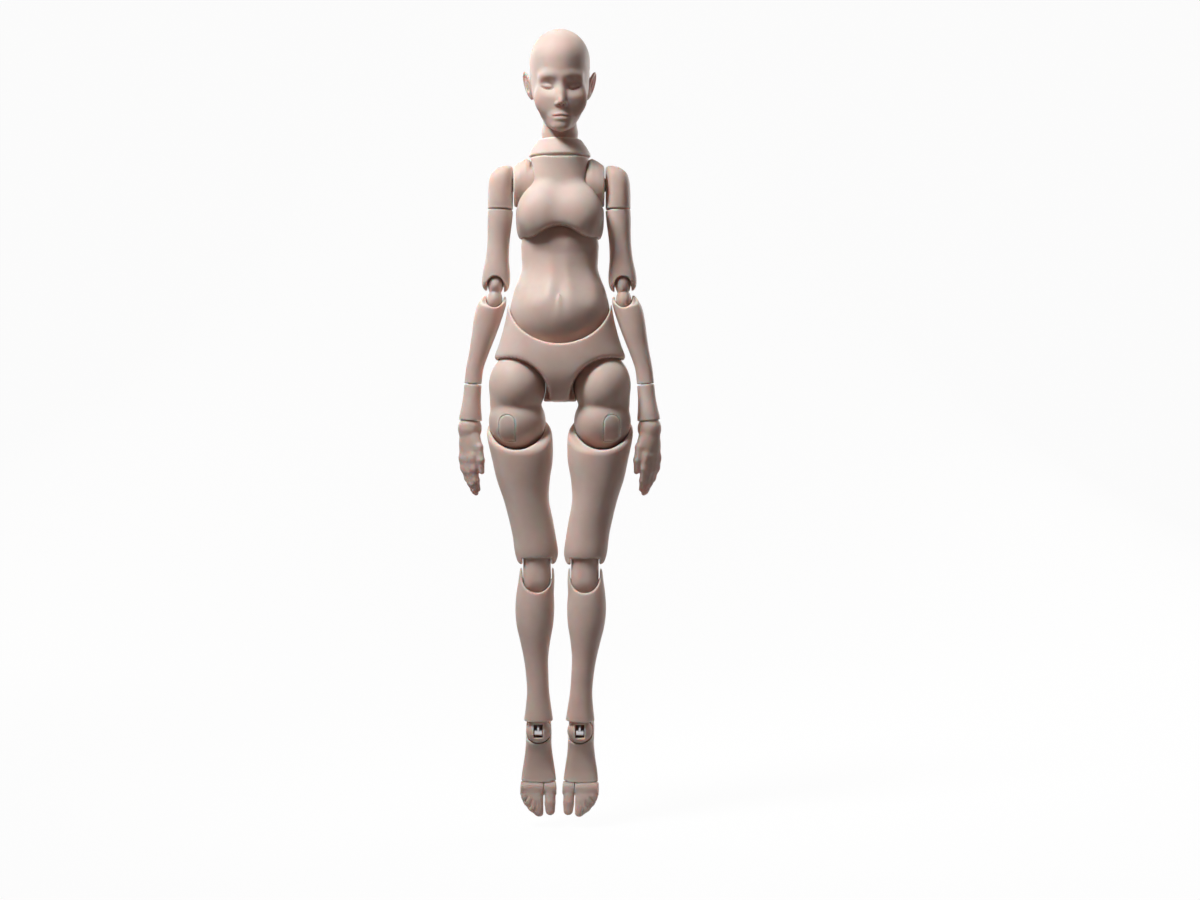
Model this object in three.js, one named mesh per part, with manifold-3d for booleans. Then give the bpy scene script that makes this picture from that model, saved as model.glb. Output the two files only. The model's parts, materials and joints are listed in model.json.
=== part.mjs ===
// Strung ball-jointed figure, one sixth of life size, in millimetres.
// +Z is up, the figure faces -Y, and the origin is the middle of the flat seat under the pelvis.
// Left and right are the figure's own: its right side lies at -X.
import * as THREE from 'three'
import { mergeVertices } from 'three/addons/utils/BufferGeometryUtils.js'
import Module from 'manifold-3d'

const wasm = await Module()
wasm.setup()

// Fits
const gap = 0.3
const channelRadius = 1.8
const bossRadius = 2.4
const bossLength = 1.4
const wireRadius = 0.6
const eyeRadius = 0.8
const reliefSlope = 38

// Head and neck
const headHeight = 37.4
const headHalfWidth = 11
const headHalfDepth = 15
const headChinDrop = 7.6
const headPitch = 6
const headTurn = 3
const skullWall = 2.4
const capSlant = 25.4
const capSetback = 0.564 * (headHeight - headChinDrop)
const lipLength = 1.2
const cavitySetback = 1.6
const neckBallRadius = 6.6
const neckTopRadius = 6.3
const neckLength = 8.3
const collarRadius = 12.6
const collarHalfWidth = 12
const collarEdgeDrop = 6.4
const neckSeat = 1.9

// Chest, belly and pelvis
const chestHeight = 29.8
const chestHalfWidth = 16
const chestHalfDepth = 12.6
const chestFloor = 1.9
const chestBend = 57.5
const bellyTopHalfWidth = 14.2
const bellyTopRadius = 11
const bellyHalfWidth = 18.2
const bellyRadius = 15.8
const waistHeight = 33.2
const waistSetback = 1
const waistHalfWidth = 13.95
const archRadius = 9.1
const archDrop = 3.1
const collarHeight = chestBend + chestFloor + chestHeight + 0.56 * collarRadius
const pelvisHeight = 36.4
const rimHalfWidth = 18.7
const rimHeight = 37.5
const rimDrop = 16.6
const pelvisHalfWidth = 24.2
const pelvisHalfDepth = 15.2
const saddleHalfWidth = 3.6
const legArchRadius = 15.4

// Arm
const yokeRadius = 7.2
const yokeFace = 5
const yokeInner = 1.2
const yokeSpread = 11.4
const yokeHeight = chestBend + chestFloor + 0.678 * chestHeight
const yokeBlockRise = 9.2
const yokeTurn = 12
const shoulderHalfWidth = 4.6
const shoulderHalfDepth = 6.2
const shoulderRise = 6.9
const shoulderDrop = 8.9
const upperArmLength = 27.5
const upperArmHalfWidth = 5.1
const upperArmHalfDepth = 5.1
const elbowRadius = 4.1
const elbowHalfWidth = 2.7
const elbowPitch = 5.5
const forearmLength = 31.2
const forearmHalfWidth = 5
const forearmHalfDepth = 5
const forearmAside = -6
const sleeveLength = 16.2
const sleeveHalfWidth = 4.2
const sleeveHalfDepth = 4
const wristRadius = 4.35
const handLength = 24.4
const handHalfWidth = 5.8
const handHalfDepth = 2.7
const fingerRadius = 1.25
const thumbLength = 13

// Leg
const hipRadius = 10.4
const hipSpread = 15.6
const hipHeight = 5.9
const hipPitch = 12.9
const plugHalfWidth = 3
const plugHeight = 9.6
const plugDepth = 4.4
const plugAside = -3.4
const plugTop = 2.2
const thighLength = 49.5
const thighHalfWidth = 11.9
const thighHalfDepth = 12.2
const kneeRadius = 6
const kneeHalfWidth = 4.9
const kneePitch = 8.5
const kneeAside = 7.26
const shinLength = 55.4
const shinHalfWidth = 7.15
const shinHalfDepth = 8
const shinRim = 3.6
const ankleRadius = 4.6
const ankleAside = 0.5
const slotHalfWidth = 1.65
const footLength = 20
const heelLength = 9
const footHalfWidth = 6.7
const ankleHeight = 9.6
const toeRadius = 2.3
const toeLength = 10.6
const bigToeWidth = 4.3
const smallToeWidths = [2.4, 2.2, 2, 1.7]

// Rest pose, in degrees: right and left differ a little in the photographed stance
const stance = {
  right: { reach: 0.5, arm: 3.7, sleeve: 4, hand: -50, thigh: 0, knee: 0, shin: 0, foot: 0 },
  left: { reach: 0, arm: 3.7, sleeve: 5, hand: -45, thigh: 1, knee: -1.2, shin: -1.2, foot: 8 },
}
const footPitch = 75

const resin = new THREE.MeshStandardMaterial({ color: '#dcc3b7', roughness: 0.5, metalness: 0 })
const steel = new THREE.MeshStandardMaterial({ color: '#8d8f92', roughness: 0.35, metalness: 1 })

// A closed triangle mesh as a solid, with its shared corners merged
function solid(geometry) {
  const bare = geometry.clone()
  bare.deleteAttribute('normal')
  bare.deleteAttribute('uv')
  const merged = mergeVertices(bare, 1e-4)
  const corners = merged.index.array
  const kept = []
  for (let i = 0; i < corners.length; i += 3) {
    const [a, b, c] = [corners[i], corners[i + 1], corners[i + 2]]
    if (a !== b && b !== c && c !== a) kept.push(a, b, c)
  }
  return new wasm.Manifold(new wasm.Mesh({
    numProp: 3,
    vertProperties: merged.attributes.position.array,
    triVerts: new Uint32Array(kept),
  }))
}

function piece(name, shape, material = resin) {
  const cut = shape.getMesh()
  const geometry = new THREE.BufferGeometry()
  geometry.setAttribute('position', new THREE.BufferAttribute(cut.vertProperties, 3))
  geometry.setIndex(new THREE.BufferAttribute(cut.triVerts, 1))
  geometry.computeVertexNormals()
  const mesh = new THREE.Mesh(geometry, material)
  mesh.name = name
  return mesh
}

// Rings of a rounded outline along Z. A row is [along, wide, deep, aside, ahead], each a share of
// the length, half width or half depth.
function loft({ rows, length, width, depth, sides = 12, rings = 8, power = 2 }) {
  const middles = new THREE.CatmullRomCurve3(rows.map(([along, , , aside = 0, ahead = 0]) =>
    new THREE.Vector3(aside * width, -ahead * depth, along * length)))
  const spans = new THREE.CatmullRomCurve3(rows.map(([, wide, deep]) =>
    new THREE.Vector3(wide * width, deep * depth, 0)))
  const points = []
  for (let i = 0; i <= rings; i++) {
    const middle = middles.getPoint(i / rings)
    const span = spans.getPoint(i / rings)
    for (let j = 0; j < sides; j++) {
      const angle = (2 * Math.PI * j) / sides
      const across = Math.sign(Math.cos(angle)) * Math.abs(Math.cos(angle)) ** (2 / power)
      const along = Math.sign(Math.sin(angle)) * Math.abs(Math.sin(angle)) ** (2 / power)
      points.push(middle.x + span.x * across, middle.y + span.y * along, middle.z)
    }
  }
  const ends = [middles.getPoint(0), middles.getPoint(1)]
  ends.forEach((end) => points.push(end.x, end.y, end.z))
  const first = (rings + 1) * sides
  const faces = []
  const face = (a, b, c) => faces.push(...(length > 0 ? [a, b, c] : [a, c, b]))
  for (let j = 0; j < sides; j++) {
    const next = (j + 1) % sides
    for (let i = 0; i < rings; i++) {
      const [low, high] = [i * sides, (i + 1) * sides]
      face(low + j, low + next, high + next)
      face(low + j, high + next, high + j)
    }
    face(first, next, j)
    face(first + 1, rings * sides + j, rings * sides + next)
  }
  const geometry = new THREE.BufferGeometry()
  geometry.setAttribute('position', new THREE.Float32BufferAttribute(points, 3))
  geometry.setIndex(faces)
  return geometry
}

// Sides of a round form: more on a larger one
const facets = (radius) => 2 * Math.round(Math.min(7, Math.max(4, 2.8 + radius * 0.3)))

function ellipsoid([rx, ry, rz], [x, y, z] = [0, 0, 0], sides = facets(Math.max(rx, ry, rz))) {
  const round = new THREE.SphereGeometry(1, sides, sides / 2)
  return solid(round.rotateX(Math.PI / 2).scale(rx, ry, rz).translate(x, y, z))
}

const ball = (radius, at) => ellipsoid([radius, radius, radius], at)

// A hollow that clears a faceted ball all over: its flats lie at the ball's radius and the gap
function socket(radii, at) {
  const [rx, ry, rz] = Array.isArray(radii) ? radii : [radii, radii, radii]
  const sides = facets(Math.max(rx, ry, rz)) + 2
  const grow = 1 / Math.cos(Math.PI / sides) ** 2
  return ellipsoid([(rx + gap) * grow, (ry + gap) * grow, (rz + gap) * grow], at, sides)
}

// A round bar between two points
function bar(radius, from, to, sides = 12) {
  const start = new THREE.Vector3(...from)
  const way = new THREE.Vector3(...to).sub(start)
  const rod = new THREE.CylinderGeometry(radius, radius, way.length(), sides)
  rod.translate(0, way.length() / 2, 0)
  rod.applyQuaternion(new THREE.Quaternion().setFromUnitVectors(
    new THREE.Vector3(0, 1, 0), way.normalize()))
  return solid(rod.translate(start.x, start.y, start.z))
}

// A block, centred, turned by tilt degrees about X and moved
function block([w, d, h], [x, y, z], tilt = 0) {
  const box = new THREE.BoxGeometry(w, d, h)
  return solid(box.rotateX(THREE.MathUtils.degToRad(tilt)).translate(x, y, z))
}

// Everything above (or, with side -1, below) a plane through a point, tilted about X
const room = 120
function beyond([x, y, z], tilt, side = 1) {
  const box = new THREE.BoxGeometry(room, room, room).translate(0, 0, (side * room) / 2)
  return solid(box.rotateX(THREE.MathUtils.degToRad(tilt)).translate(x, y, z))
}

// A disc about the X axis with rounded edges, for the lobes that roll on hinges
function lobe(radius, halfWidth, at, sides = facets(radius) + 2) {
  const edge = Math.min(radius, halfWidth) * 0.85
  const outline = [[0, -halfWidth], [radius - edge, -halfWidth]]
  for (const angle of [45, 90]) {
    const turn = THREE.MathUtils.degToRad(angle)
    outline.push([radius - edge + edge * Math.sin(turn), -halfWidth + edge - edge * Math.cos(turn)])
  }
  const mirrored = outline.map(([r, x]) => [r, -x]).reverse()
  const points = [...outline, ...mirrored].map(([r, x]) => new THREE.Vector2(r, x))
  const disc = new THREE.LatheGeometry(points, sides)
  return solid(disc.rotateZ(-Math.PI / 2).translate(...at))
}

function lobeSeat(radius, halfWidth, at) {
  const sides = facets(radius) + 6
  const grow = 1 / Math.cos(Math.PI / sides)
  return lobe((radius + gap) * grow, halfWidth + gap, at, sides)
}

// An opening cut towards the front, round at one end and open at the other, where a lobe shows
function mouth(halfWidth, [x, y, z], side) {
  return bar(halfWidth, [x, y - room, z], [x, y, z], 16)
    .add(block([2 * halfWidth, room, room], [x, y - room / 2, z + (side * room) / 2]))
}

// A slot right through from front to back, above or below a point, where a lobe's web passes
const slotAbove = (halfWidth, [x, y, z]) =>
  block([2 * (halfWidth + gap), room, room], [x, y, z + room / 2])
const slotBelow = (halfWidth, [x, y, z]) =>
  block([2 * (halfWidth + gap), room, room], [x, y, z - room / 2])

const joined = (...shapes) => shapes.reduce((whole, shape) => whole.add(shape))

// Head, hollow and opened at the back by a slanted plane
const headRows = [
  [0, 0.15, 0.16, 0, 0.72], [0.03, 0.34, 0.32, 0, 0.62], [0.06, 0.46, 0.42, 0, 0.54],
  [0.14, 0.635, 0.55, 0, 0.43], [0.21, 0.72, 0.64, 0, 0.34], [0.27, 0.83, 0.74, 0, 0.24],
  [0.34, 0.9, 0.83, 0, 0.15], [0.45, 0.955, 0.92, 0, 0.05], [0.56, 0.985, 0.96, 0, 0.02],
  [0.68, 1, 0.98], [0.79, 0.935, 0.93, 0, -0.01], [0.91, 0.72, 0.7, 0, -0.02],
  [0.97, 0.49, 0.46, 0, -0.03], [1, 0.16, 0.15, 0, -0.04],
]
const capPlane = [0, capSetback * Math.cos(THREE.MathUtils.degToRad(capSlant)),
  capSetback * Math.sin(THREE.MathUtils.degToRad(capSlant))]
const capTilt = capSlant - 90

function skull() {
  const shell = loft({ rows: headRows, length: headHeight, width: headHalfWidth,
    depth: headHalfDepth, sides: 18, rings: 12 }).translate(0, 0, -headChinDrop)
  const [w, d, h] = [headHalfWidth, headHalfDepth, headHeight]
  const features = [
    ellipsoid([0.12 * w, 0.16 * d, 0.1 * h], [0, -0.97 * d, 0.12 * h], 8),
    ellipsoid([0.16 * w, 0.15 * d, 0.045 * h], [0, -1.05 * d, 0.05 * h], 8),
    ellipsoid([0.28 * w, 0.12 * d, 0.02 * h], [0, -0.93 * d, -0.058 * h], 8),
    ellipsoid([0.23 * w, 0.12 * d, 0.02 * h], [0, -0.92 * d, -0.092 * h], 8),
    ellipsoid([0.24 * w, 0.1 * d, 0.05 * h], [0, -0.86 * d, -0.155 * h], 8),
  ]
  for (const side of [-1, 1]) {
    features.push(
      ellipsoid([0.25 * w, 0.1 * d, 0.03 * h], [side * 0.45 * w, -0.82 * d, 0.215 * h], 8),
      ellipsoid([0.13 * w, 0.2 * d, 0.14 * h], [side * 1.02 * w, 0.05 * d, 0.25 * h], 10),
    )
  }
  return joined(solid(shell), ...features)
}

const cavityFloor = neckTopRadius + gap + 0.83 * skullWall
const cavityTop = headHeight - headChinDrop - skullWall
const cavityHeight = (cavityTop + cavityFloor) / 2
const cavityRadii = [headHalfWidth - skullWall, headHalfDepth - 1.6 * skullWall,
  (cavityTop - cavityFloor) / 2]
const cavityCentre = [0, cavitySetback, cavityHeight]

function headFace() {
  const cavity = ellipsoid(cavityRadii, cavityCentre, 12)
  return skull()
    .subtract(beyond(capPlane, capTilt))
    .subtract(cavity)
    .subtract(socket(neckTopRadius, [0, 0, 0]))
    .subtract(bar(neckBallRadius + gap, [0, 0, -headHeight], [0, 0, 0], 20))
    .subtract(bar(channelRadius, [0, 0, 0], [0, 0, cavityHeight]))
}

function headCap() {
  const seam = capPlane.map((value) => value * (1 + gap / capSetback))
  const inner = capPlane.map((value) => value * (1 - lipLength / capSetback))
  const shrunk = (by) => ellipsoid(cavityRadii.map((radius) => radius - by), cavityCentre, 12)
  const lip = shrunk(1.3 * gap).intersect(beyond(inner, capTilt))
  return skull().intersect(beyond(seam, capTilt)).add(lip).subtract(shrunk(skullWall / 2))
}

// A steel hook: a cross bar, along X or Y, and above it (below, with a negative rise) an eye for
// the cord
function hook({ rise, length, radius = wireRadius, lengthwise = [1, 0, 0], at: [x, y, z] }) {
  const eye = new THREE.TorusGeometry(eyeRadius, wireRadius, 6, 8)
  eye.rotateY(Math.PI / 2).translate(x, y, z + rise)
  const [dx, dy] = lengthwise.map((value) => (value * length) / 2)
  return joined(
    bar(radius, [x - dx, y - dy, z], [x + dx, y + dy, z], 8),
    bar(wireRadius, [x, y, z], [x, y, z + rise - Math.sign(rise) * eyeRadius], 6),
    solid(eye),
  )
}

const neckHook = () => hook({ rise: -cavityFloor - 0.3 * neckTopRadius, length: 3.4 * channelRadius,
  at: [0, 0, cavityFloor + wireRadius + 1.1] })
const handHook = () => hook({ rise: 0.5 * wristRadius, length: 1.04 * wristRadius,
  lengthwise: [0, 1, 0], at: [0, 0, gap] })
const ankleHook = () => hook({ rise: 0.27 * ankleRadius, length: 2 * (slotHalfWidth - gap),
  radius: 2 * wireRadius, at: [0, -0.45 * ankleRadius, -0.1 * ankleRadius] })

function neck() {
  const column = loft({
    rows: [[0, 1, 0.98], [0.5, 0.96, 0.93], [1, 0.94, 0.92]],
    length: neckLength, width: neckBallRadius, depth: neckBallRadius, sides: 14, rings: 2,
  })
  return joined(ball(neckBallRadius), solid(column), ball(neckTopRadius, [0, 0, neckLength]))
    .subtract(bar(channelRadius, [0, 0, -room], [0, 0, room]))
}

function neckBase() {
  const skirt = loft({
    rows: [[0, 1, 0.96], [0.15, 0.99, 0.95], [0.5, 0.84, 0.83], [0.85, 0.68, 0.69], [1, 0.63, 0.65]],
    length: collarEdgeDrop, width: collarHalfWidth, depth: collarHalfWidth, sides: 16, rings: 4,
  }).translate(0, 0, -collarEdgeDrop)
  const dish = ball(collarRadius).subtract(beyond([0, 0, -collarEdgeDrop], 0))
  return joined(dish, solid(skirt))
    .subtract(socket(neckBallRadius, [0, 0, neckSeat]))
    .subtract(bar(channelRadius, [0, 0, -room], [0, 0, 0]))
}

function chest(reaches) {
  const rows = [
    [0, 0.93, 0.9, 0, -0.09], [0.15, 1, 0.96, 0, -0.07], [0.41, 1, 1, 0, -0.08],
    [0.56, 0.92, 0.98, 0, -0.08], [0.69, 0.78, 0.94, 0, -0.08], [0.86, 0.72, 0.9, 0, -0.06],
    [1, 0.69, 0.9, 0, -0.05],
  ]
  const shell = loft({ rows, length: chestHeight, width: chestHalfWidth, depth: chestHalfDepth,
    sides: 16, rings: 9, power: 2.2 }).translate(0, 0, chestFloor)
  const bust = [-1, 1].map((side) => ellipsoid(
    [0.48 * chestHalfWidth, 0.46 * chestHalfDepth, 0.27 * chestHeight],
    [side * 0.47 * chestHalfWidth, -0.86 * chestHalfDepth, 0.41 * chestHeight], 12))
  const arch = bar(archRadius, [0, -room, -archDrop], [0, -0.3 * chestHalfDepth, -archDrop], 20)
  let shape = joined(solid(shell), ...bust)
    .subtract(socket([bellyTopHalfWidth, bellyTopRadius, bellyTopRadius], [0, 0, 0]))
    .subtract(arch)
    .subtract(socket(collarRadius, [0, 0, collarHeight - chestBend]))
    .subtract(bar(channelRadius, [0, 0, 0], [0, 0, room]))
  for (const [side, reach] of reaches) {
    const at = [side * (yokeSpread + reach), 0, yokeHeight - chestBend]
    shape = shape.subtract(socket(yokeRadius, at))
    for (const turn of [-yokeTurn, 0, yokeTurn]) {
      shape = shape.subtract(yokeBlock(gap, side, turn, at))
    }
  }
  return shape
}

function belly() {
  const rise = chestBend - waistHeight
  const rows = [
    [0, 0.97, 0.97], [0.17, 0.96, 0.93], [0.33, 0.912, 0.84, 0, -0.01],
    [0.48, 0.832, 0.71, 0, -0.02], [0.65, waistHalfWidth / bellyHalfWidth, 0.62, 0, -0.02],
    [0.85, 0.775, 0.63], [1, 0.775, 0.66],
  ]
  const waist = loft({ rows, length: rise, width: bellyHalfWidth, depth: bellyRadius,
    sides: 16, rings: 6 })
  return joined(
    ellipsoid([bellyHalfWidth, bellyRadius, bellyRadius]),
    solid(waist),
    ellipsoid([bellyTopHalfWidth, bellyTopRadius, bellyTopRadius], [0, 0, rise]),
  ).subtract(bar(channelRadius, [0, 0, -room], [0, 0, room]))
}

// The rounded dip in the pelvis's upper rim, from one depth to another
function trough(drop, from, to) {
  const dip = new THREE.CylinderGeometry(1, 1, to - from, 28)
  return solid(dip.scale(rimHalfWidth, 1, drop).translate(0, (from + to) / 2, rimHeight))
}

function pelvis() {
  const rows = [
    [0, 0.36, 0.55, 0, -0.08], [0.12, 0.72, 0.78, 0, -0.09], [0.26, 0.94, 0.94, 0, -0.1],
    [0.42, 1, 0.97, 0, -0.08], [0.58, 0.925, 0.94, 0, -0.05], [0.72, 0.862, 0.9, 0, -0.02],
    [0.87, 0.81, 0.86], [1, 0.785, 0.84, 0, 0.02],
  ]
  const shell = loft({ rows, length: pelvisHeight, width: pelvisHalfWidth, depth: pelvisHalfDepth,
    sides: 18, rings: 8, power: 2.2 })
  const seat = [-1, 1].map((side) => ellipsoid(
    [0.4 * pelvisHalfWidth, 0.5 * pelvisHalfDepth, 0.3 * pelvisHeight],
    [side * 0.4 * pelvisHalfWidth, 0.62 * pelvisHalfDepth, 0.36 * pelvisHeight], 12))
  let shape = joined(solid(shell), ...seat)
    .subtract(beyond([0, 0, 0], 0, -1))
    .subtract(socket([bellyHalfWidth, bellyRadius, bellyRadius], [0, waistSetback, waistHeight]))
    .subtract(trough(rimDrop, -room, 0))
    .subtract(trough(0.65 * rimDrop, 0, room))
    .subtract(bar(channelRadius, [0, 0, hipHeight], [0, 0, room]))
    .subtract(bar(channelRadius, [-hipSpread, 0, hipHeight], [hipSpread, 0, hipHeight]))
  for (const side of [-1, 1]) {
    const x = side * (saddleHalfWidth + legArchRadius)
    shape = shape
      .subtract(socket(hipRadius, [side * hipSpread, 0, hipHeight]))
      .subtract(bar(legArchRadius, [x, -room, gap], [x, -0.2 * pelvisHalfDepth, gap], 28))
      .subtract(bar(legArchRadius, [x, 0.26 * pelvisHalfDepth, gap], [x, room, gap], 28))
      .subtract(bar(0.42 * legArchRadius, [side * 1.06 * pelvisHalfWidth, -room, 0.6 * legArchRadius],
        [side * 1.06 * pelvisHalfWidth, room, 0.6 * legArchRadius], 16))
  }
  return shape
}

// Arm, built for the figure's right side, with each piece in the frame of its own pivot
function yoke() {
  return joined(ball(yokeRadius), yokeBlock(0))
    .subtract(beyondX(-yokeFace))
    .add(bar(bossRadius, [1 - yokeFace, 0, 0], [-yokeFace - bossLength, 0, 0], 12))
    .subtract(bar(channelRadius, [-room, 0, 0], [0, 0, 0]))
}

// The sloping outer part of the yoke, and grown by the gap the recess that it turns in
function yokeBlock(extra, side = -1, turn = 0, at = [0, 0, 0]) {
  const rows = [
    [0, 0.9, 0.86, -0.08], [0.25, 0.99, 0.96, -0.06], [0.6, 0.92, 1, -0.01], [1, 0.8, 0.96, 0.06],
  ]
  const shell = loft({ rows, length: yokeFace + yokeInner + 3 * extra, width: yokeBlockRise + extra,
    depth: yokeRadius + extra, sides: 12, rings: 3 }).translate(0, 0, -extra - yokeInner)
  shell.rotateY(-Math.PI / 2).scale(-side, 1, 1)
  shell.rotateZ(THREE.MathUtils.degToRad(turn)).translate(...at)
  return solid(side > 0 ? flipped(shell) : shell)
}

function flipped(geometry) {
  const corners = geometry.index.array
  for (let i = 0; i < corners.length; i += 3) {
    [corners[i], corners[i + 1]] = [corners[i + 1], corners[i]]
  }
  return geometry
}

// Everything further out than a plane square to X
function beyondX(x) {
  return block([room, room, room], [x - room / 2, 0, 0])
}

function shoulder() {
  const height = shoulderRise + shoulderDrop
  const inner = -gap - shoulderHalfWidth
  const rows = [
    [0, 0.3, 0.3, 0.55], [0.05, 0.6, 0.62, 0.38], [0.17, 0.86, 0.86, 0.16], [0.38, 0.97, 0.99, 0.04],
    [0.7, 1, 0.98, 0], [1, 1, 0.9, 0],
  ]
  const shell = loft({ rows, length: -height, width: shoulderHalfWidth, depth: shoulderHalfDepth,
    sides: 12, rings: 6, power: 2.4 }).translate(inner, 0, shoulderRise)
  return solid(shell)
    .subtract(bar(bossRadius + gap, [room, 0, 0], [-bossLength - 2 * gap, 0, 0], 18))
    .subtract(bar(bossRadius + gap, [inner, 0, -room],
      [inner, 0, bossLength + gap - shoulderDrop], 18))
}

function upperArm() {
  const rows = [
    [0, 0.9, 1.02], [0.15, 0.88, 1], [0.42, 0.8, 0.86], [0.65, 0.84, 0.84], [0.85, 0.99, 0.9],
    [0.98, 1, 0.92], [1.06, 0.86, 0.84], [1.1, 0.55, 0.6],
  ]
  const shell = loft({ rows, length: -upperArmLength, width: upperArmHalfWidth,
    depth: upperArmHalfDepth, rings: 9, power: 2.2 })
  const elbow = -upperArmLength
  return joined(solid(shell), bar(bossRadius, [0, 0, -1], [0, 0, bossLength], 14))
    .subtract(lobeSeat(elbowRadius, elbowHalfWidth, [0, 0, elbow]))
    .subtract(mouth(elbowHalfWidth + gap, [0, 0, elbow], -1))
    .subtract(slotBelow(elbowHalfWidth, [0, 0, elbow - 0.12 * elbowRadius]))
    .subtract(beyond([0, -upperArmHalfDepth, elbow + 0.4 * elbowRadius], -reliefSlope, -1))
    .subtract(bar(channelRadius, [0, 0, -room], [0, 0, room]))
}

// Two lobes on parallel hinges, joined by a web and, set forward of it, a rounded cap
function doubleLobe(radius, halfWidth, pitch, web, front) {
  return joined(
    lobe(radius, halfWidth, [0, 0, 0]),
    block([2 * halfWidth * web, 2 * radius * web, pitch], [0, 0, -pitch / 2]),
    lobe(radius, halfWidth, [0, 0, -pitch]),
    ellipsoid([0.9 * halfWidth, 0.9 * radius - front, 0.55 * pitch], [0, -front, -pitch / 2], 10),
  ).subtract(bar(channelRadius, [0, 0, -room], [0, 0, room]))
}

function forearm() {
  const rows = [
    [-0.05, 0.82, 0.8], [0.03, 0.98, 0.96, -0.12], [0.11, 1.04, 1.04, -0.27],
    [0.25, 1, 1, -0.45], [0.42, 0.88, 0.9, -0.64], [0.61, 0.74, 0.76, -0.88],
    [0.81, 0.64, 0.66, -1.13], [1, 0.63, 0.62, -1.2],
  ]
  const shell = loft({ rows, length: -forearmLength, width: forearmHalfWidth,
    depth: forearmHalfDepth, rings: 8, power: 2.2 })
  const wrist = [forearmAside, 0, -forearmLength]
  return solid(shell)
    .subtract(lobeSeat(elbowRadius, elbowHalfWidth, [0, 0, 0]))
    .subtract(mouth(elbowHalfWidth + gap, [0, 0, 0], 1))
    .subtract(slotAbove(elbowHalfWidth, [0, 0, 0.07 * elbowRadius]))
    .subtract(beyond([0, -forearmHalfDepth, -0.6 * elbowRadius], 35))
    .subtract(bar(channelRadius, [0, 0, 0], [0.6 * forearmAside, 0, -0.5 * forearmLength]))
    .subtract(bar(bossRadius * 0.7 + gap, wrist, [forearmAside, 0, bossLength + gap - forearmLength],
      14))
}

function sleeve() {
  const rows = [
    [0, 0.76, 0.78], [0.3, 0.78, 0.84], [0.55, 0.88, 0.98], [0.72, 0.98, 1.04], [0.82, 1, 1.06],
  ]
  const shell = loft({ rows, length: -sleeveLength, width: sleeveHalfWidth, depth: sleeveHalfDepth,
    rings: 4 }).translate(0, 0, -gap)
  return joined(solid(shell), bar(bossRadius * 0.7, [0, 0, -1], [0, 0, bossLength], 12))
    .subtract(socket(wristRadius, [0, 0, -sleeveLength]))
    .subtract(bar(wireRadius * 2, [0, 0, -sleeveLength], [0, 0, -0.35 * sleeveLength]))
}

// A digit as a bent, tapering loft through its knuckles, each given as [aside, ahead, drop]
function digit(knuckles, radius) {
  const reach = knuckles[knuckles.length - 1][2]
  const rows = knuckles.map(([aside, ahead, drop], i) => {
    const size = 1 - (0.3 * i) / (knuckles.length - 1)
    return [drop / reach, size, size, aside / radius, ahead / radius]
  })
  const [, , , aside, ahead] = rows[rows.length - 1]
  rows.push([1 + (0.6 * radius) / reach, 0.3, 0.3, aside, ahead])
  return solid(loft({ rows, length: -reach, width: radius, depth: radius, sides: 6, rings: 4 }))
}

function hand() {
  const [w, d, h] = [handHalfWidth, handHalfDepth, handLength]
  const rows = [
    [0.05, 0.68, 1.36], [0.12, 0.7, 1.32], [0.24, 0.83, 1.15], [0.4, 0.96, 0.95], [0.52, 0.86, 0.72],
  ]
  const palm = loft({ rows, length: -h, width: w, depth: d, sides: 10, rings: 4 })
  const fingers = [0.9, 0.98, 1, 0.94].map((share, i) => {
    const aside = (i - 1.5) * 0.42 * w
    return digit([
      [aside, 0, 0.44 * h], [0.92 * aside, -0.1 * d, 0.66 * share * h],
      [0.72 * aside, -0.6 * d, 0.84 * share * h], [0.5 * aside, -1.3 * d, share * h],
    ], fingerRadius)
  })
  const thumb = digit([
    [0.5 * w, -0.1 * d, 0.14 * h], [0.95 * w, -0.3 * d, 0.3 * h],
    [1.12 * w, -0.5 * d, 0.3 * h + 0.35 * thumbLength],
    [1.02 * w, -0.8 * d, 0.3 * h + 0.7 * thumbLength],
  ], fingerRadius * 1.25)
  const slot = [2 * (wireRadius + gap), 1.24 * wristRadius, wristRadius]
  return joined(ball(wristRadius), solid(palm), ...fingers, thumb)
    .subtract(block(slot, [0, 0, 0.38 * wristRadius]))
}

// Leg, built for the figure's right side
function hip() {
  const web = loft({ rows: [[0, 0.84, 0.88], [0.5, 0.8, 0.86], [1, 0.84, 0.88]], length: -hipPitch,
    width: hipRadius, depth: hipRadius, sides: 12, rings: 2 })
  const outer = ellipsoid([0.6 * hipRadius, 0.75 * hipRadius, 0.68 * hipPitch],
    [-0.36 * hipRadius, 0, -0.5 * hipPitch], 12)
  const slot = plugSolid(plugHalfWidth, plugHeight, plugDepth)
  return joined(ball(hipRadius), solid(web), outer, ball(hipRadius, [0, 0, -hipPitch]))
    .subtract(slot)
    .subtract(bar(channelRadius, [0, 0, -room], [0, 0, room]))
}

// An arched block that faces forward on the hip's lower lobe
function plugSolid(halfWidth, height, depth) {
  const arch = new THREE.Shape()
  arch.moveTo(-halfWidth, halfWidth - height).lineTo(halfWidth, halfWidth - height)
  arch.lineTo(halfWidth, 0)
  arch.absarc(0, 0, halfWidth, 0, Math.PI, false)
  const plug = new THREE.ExtrudeGeometry(arch,
    { depth: hipRadius, bevelEnabled: false, curveSegments: 8 })
  return solid(plug.rotateX(Math.PI / 2)
    .translate(plugAside, depth - hipRadius, plugTop - halfWidth - hipPitch))
}

function slotPlug() {
  return plugSolid(plugHalfWidth - gap, plugHeight - 2 * gap, plugDepth - gap)
    .intersect(ball(hipRadius, [0, 0, -hipPitch]))
}

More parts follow.
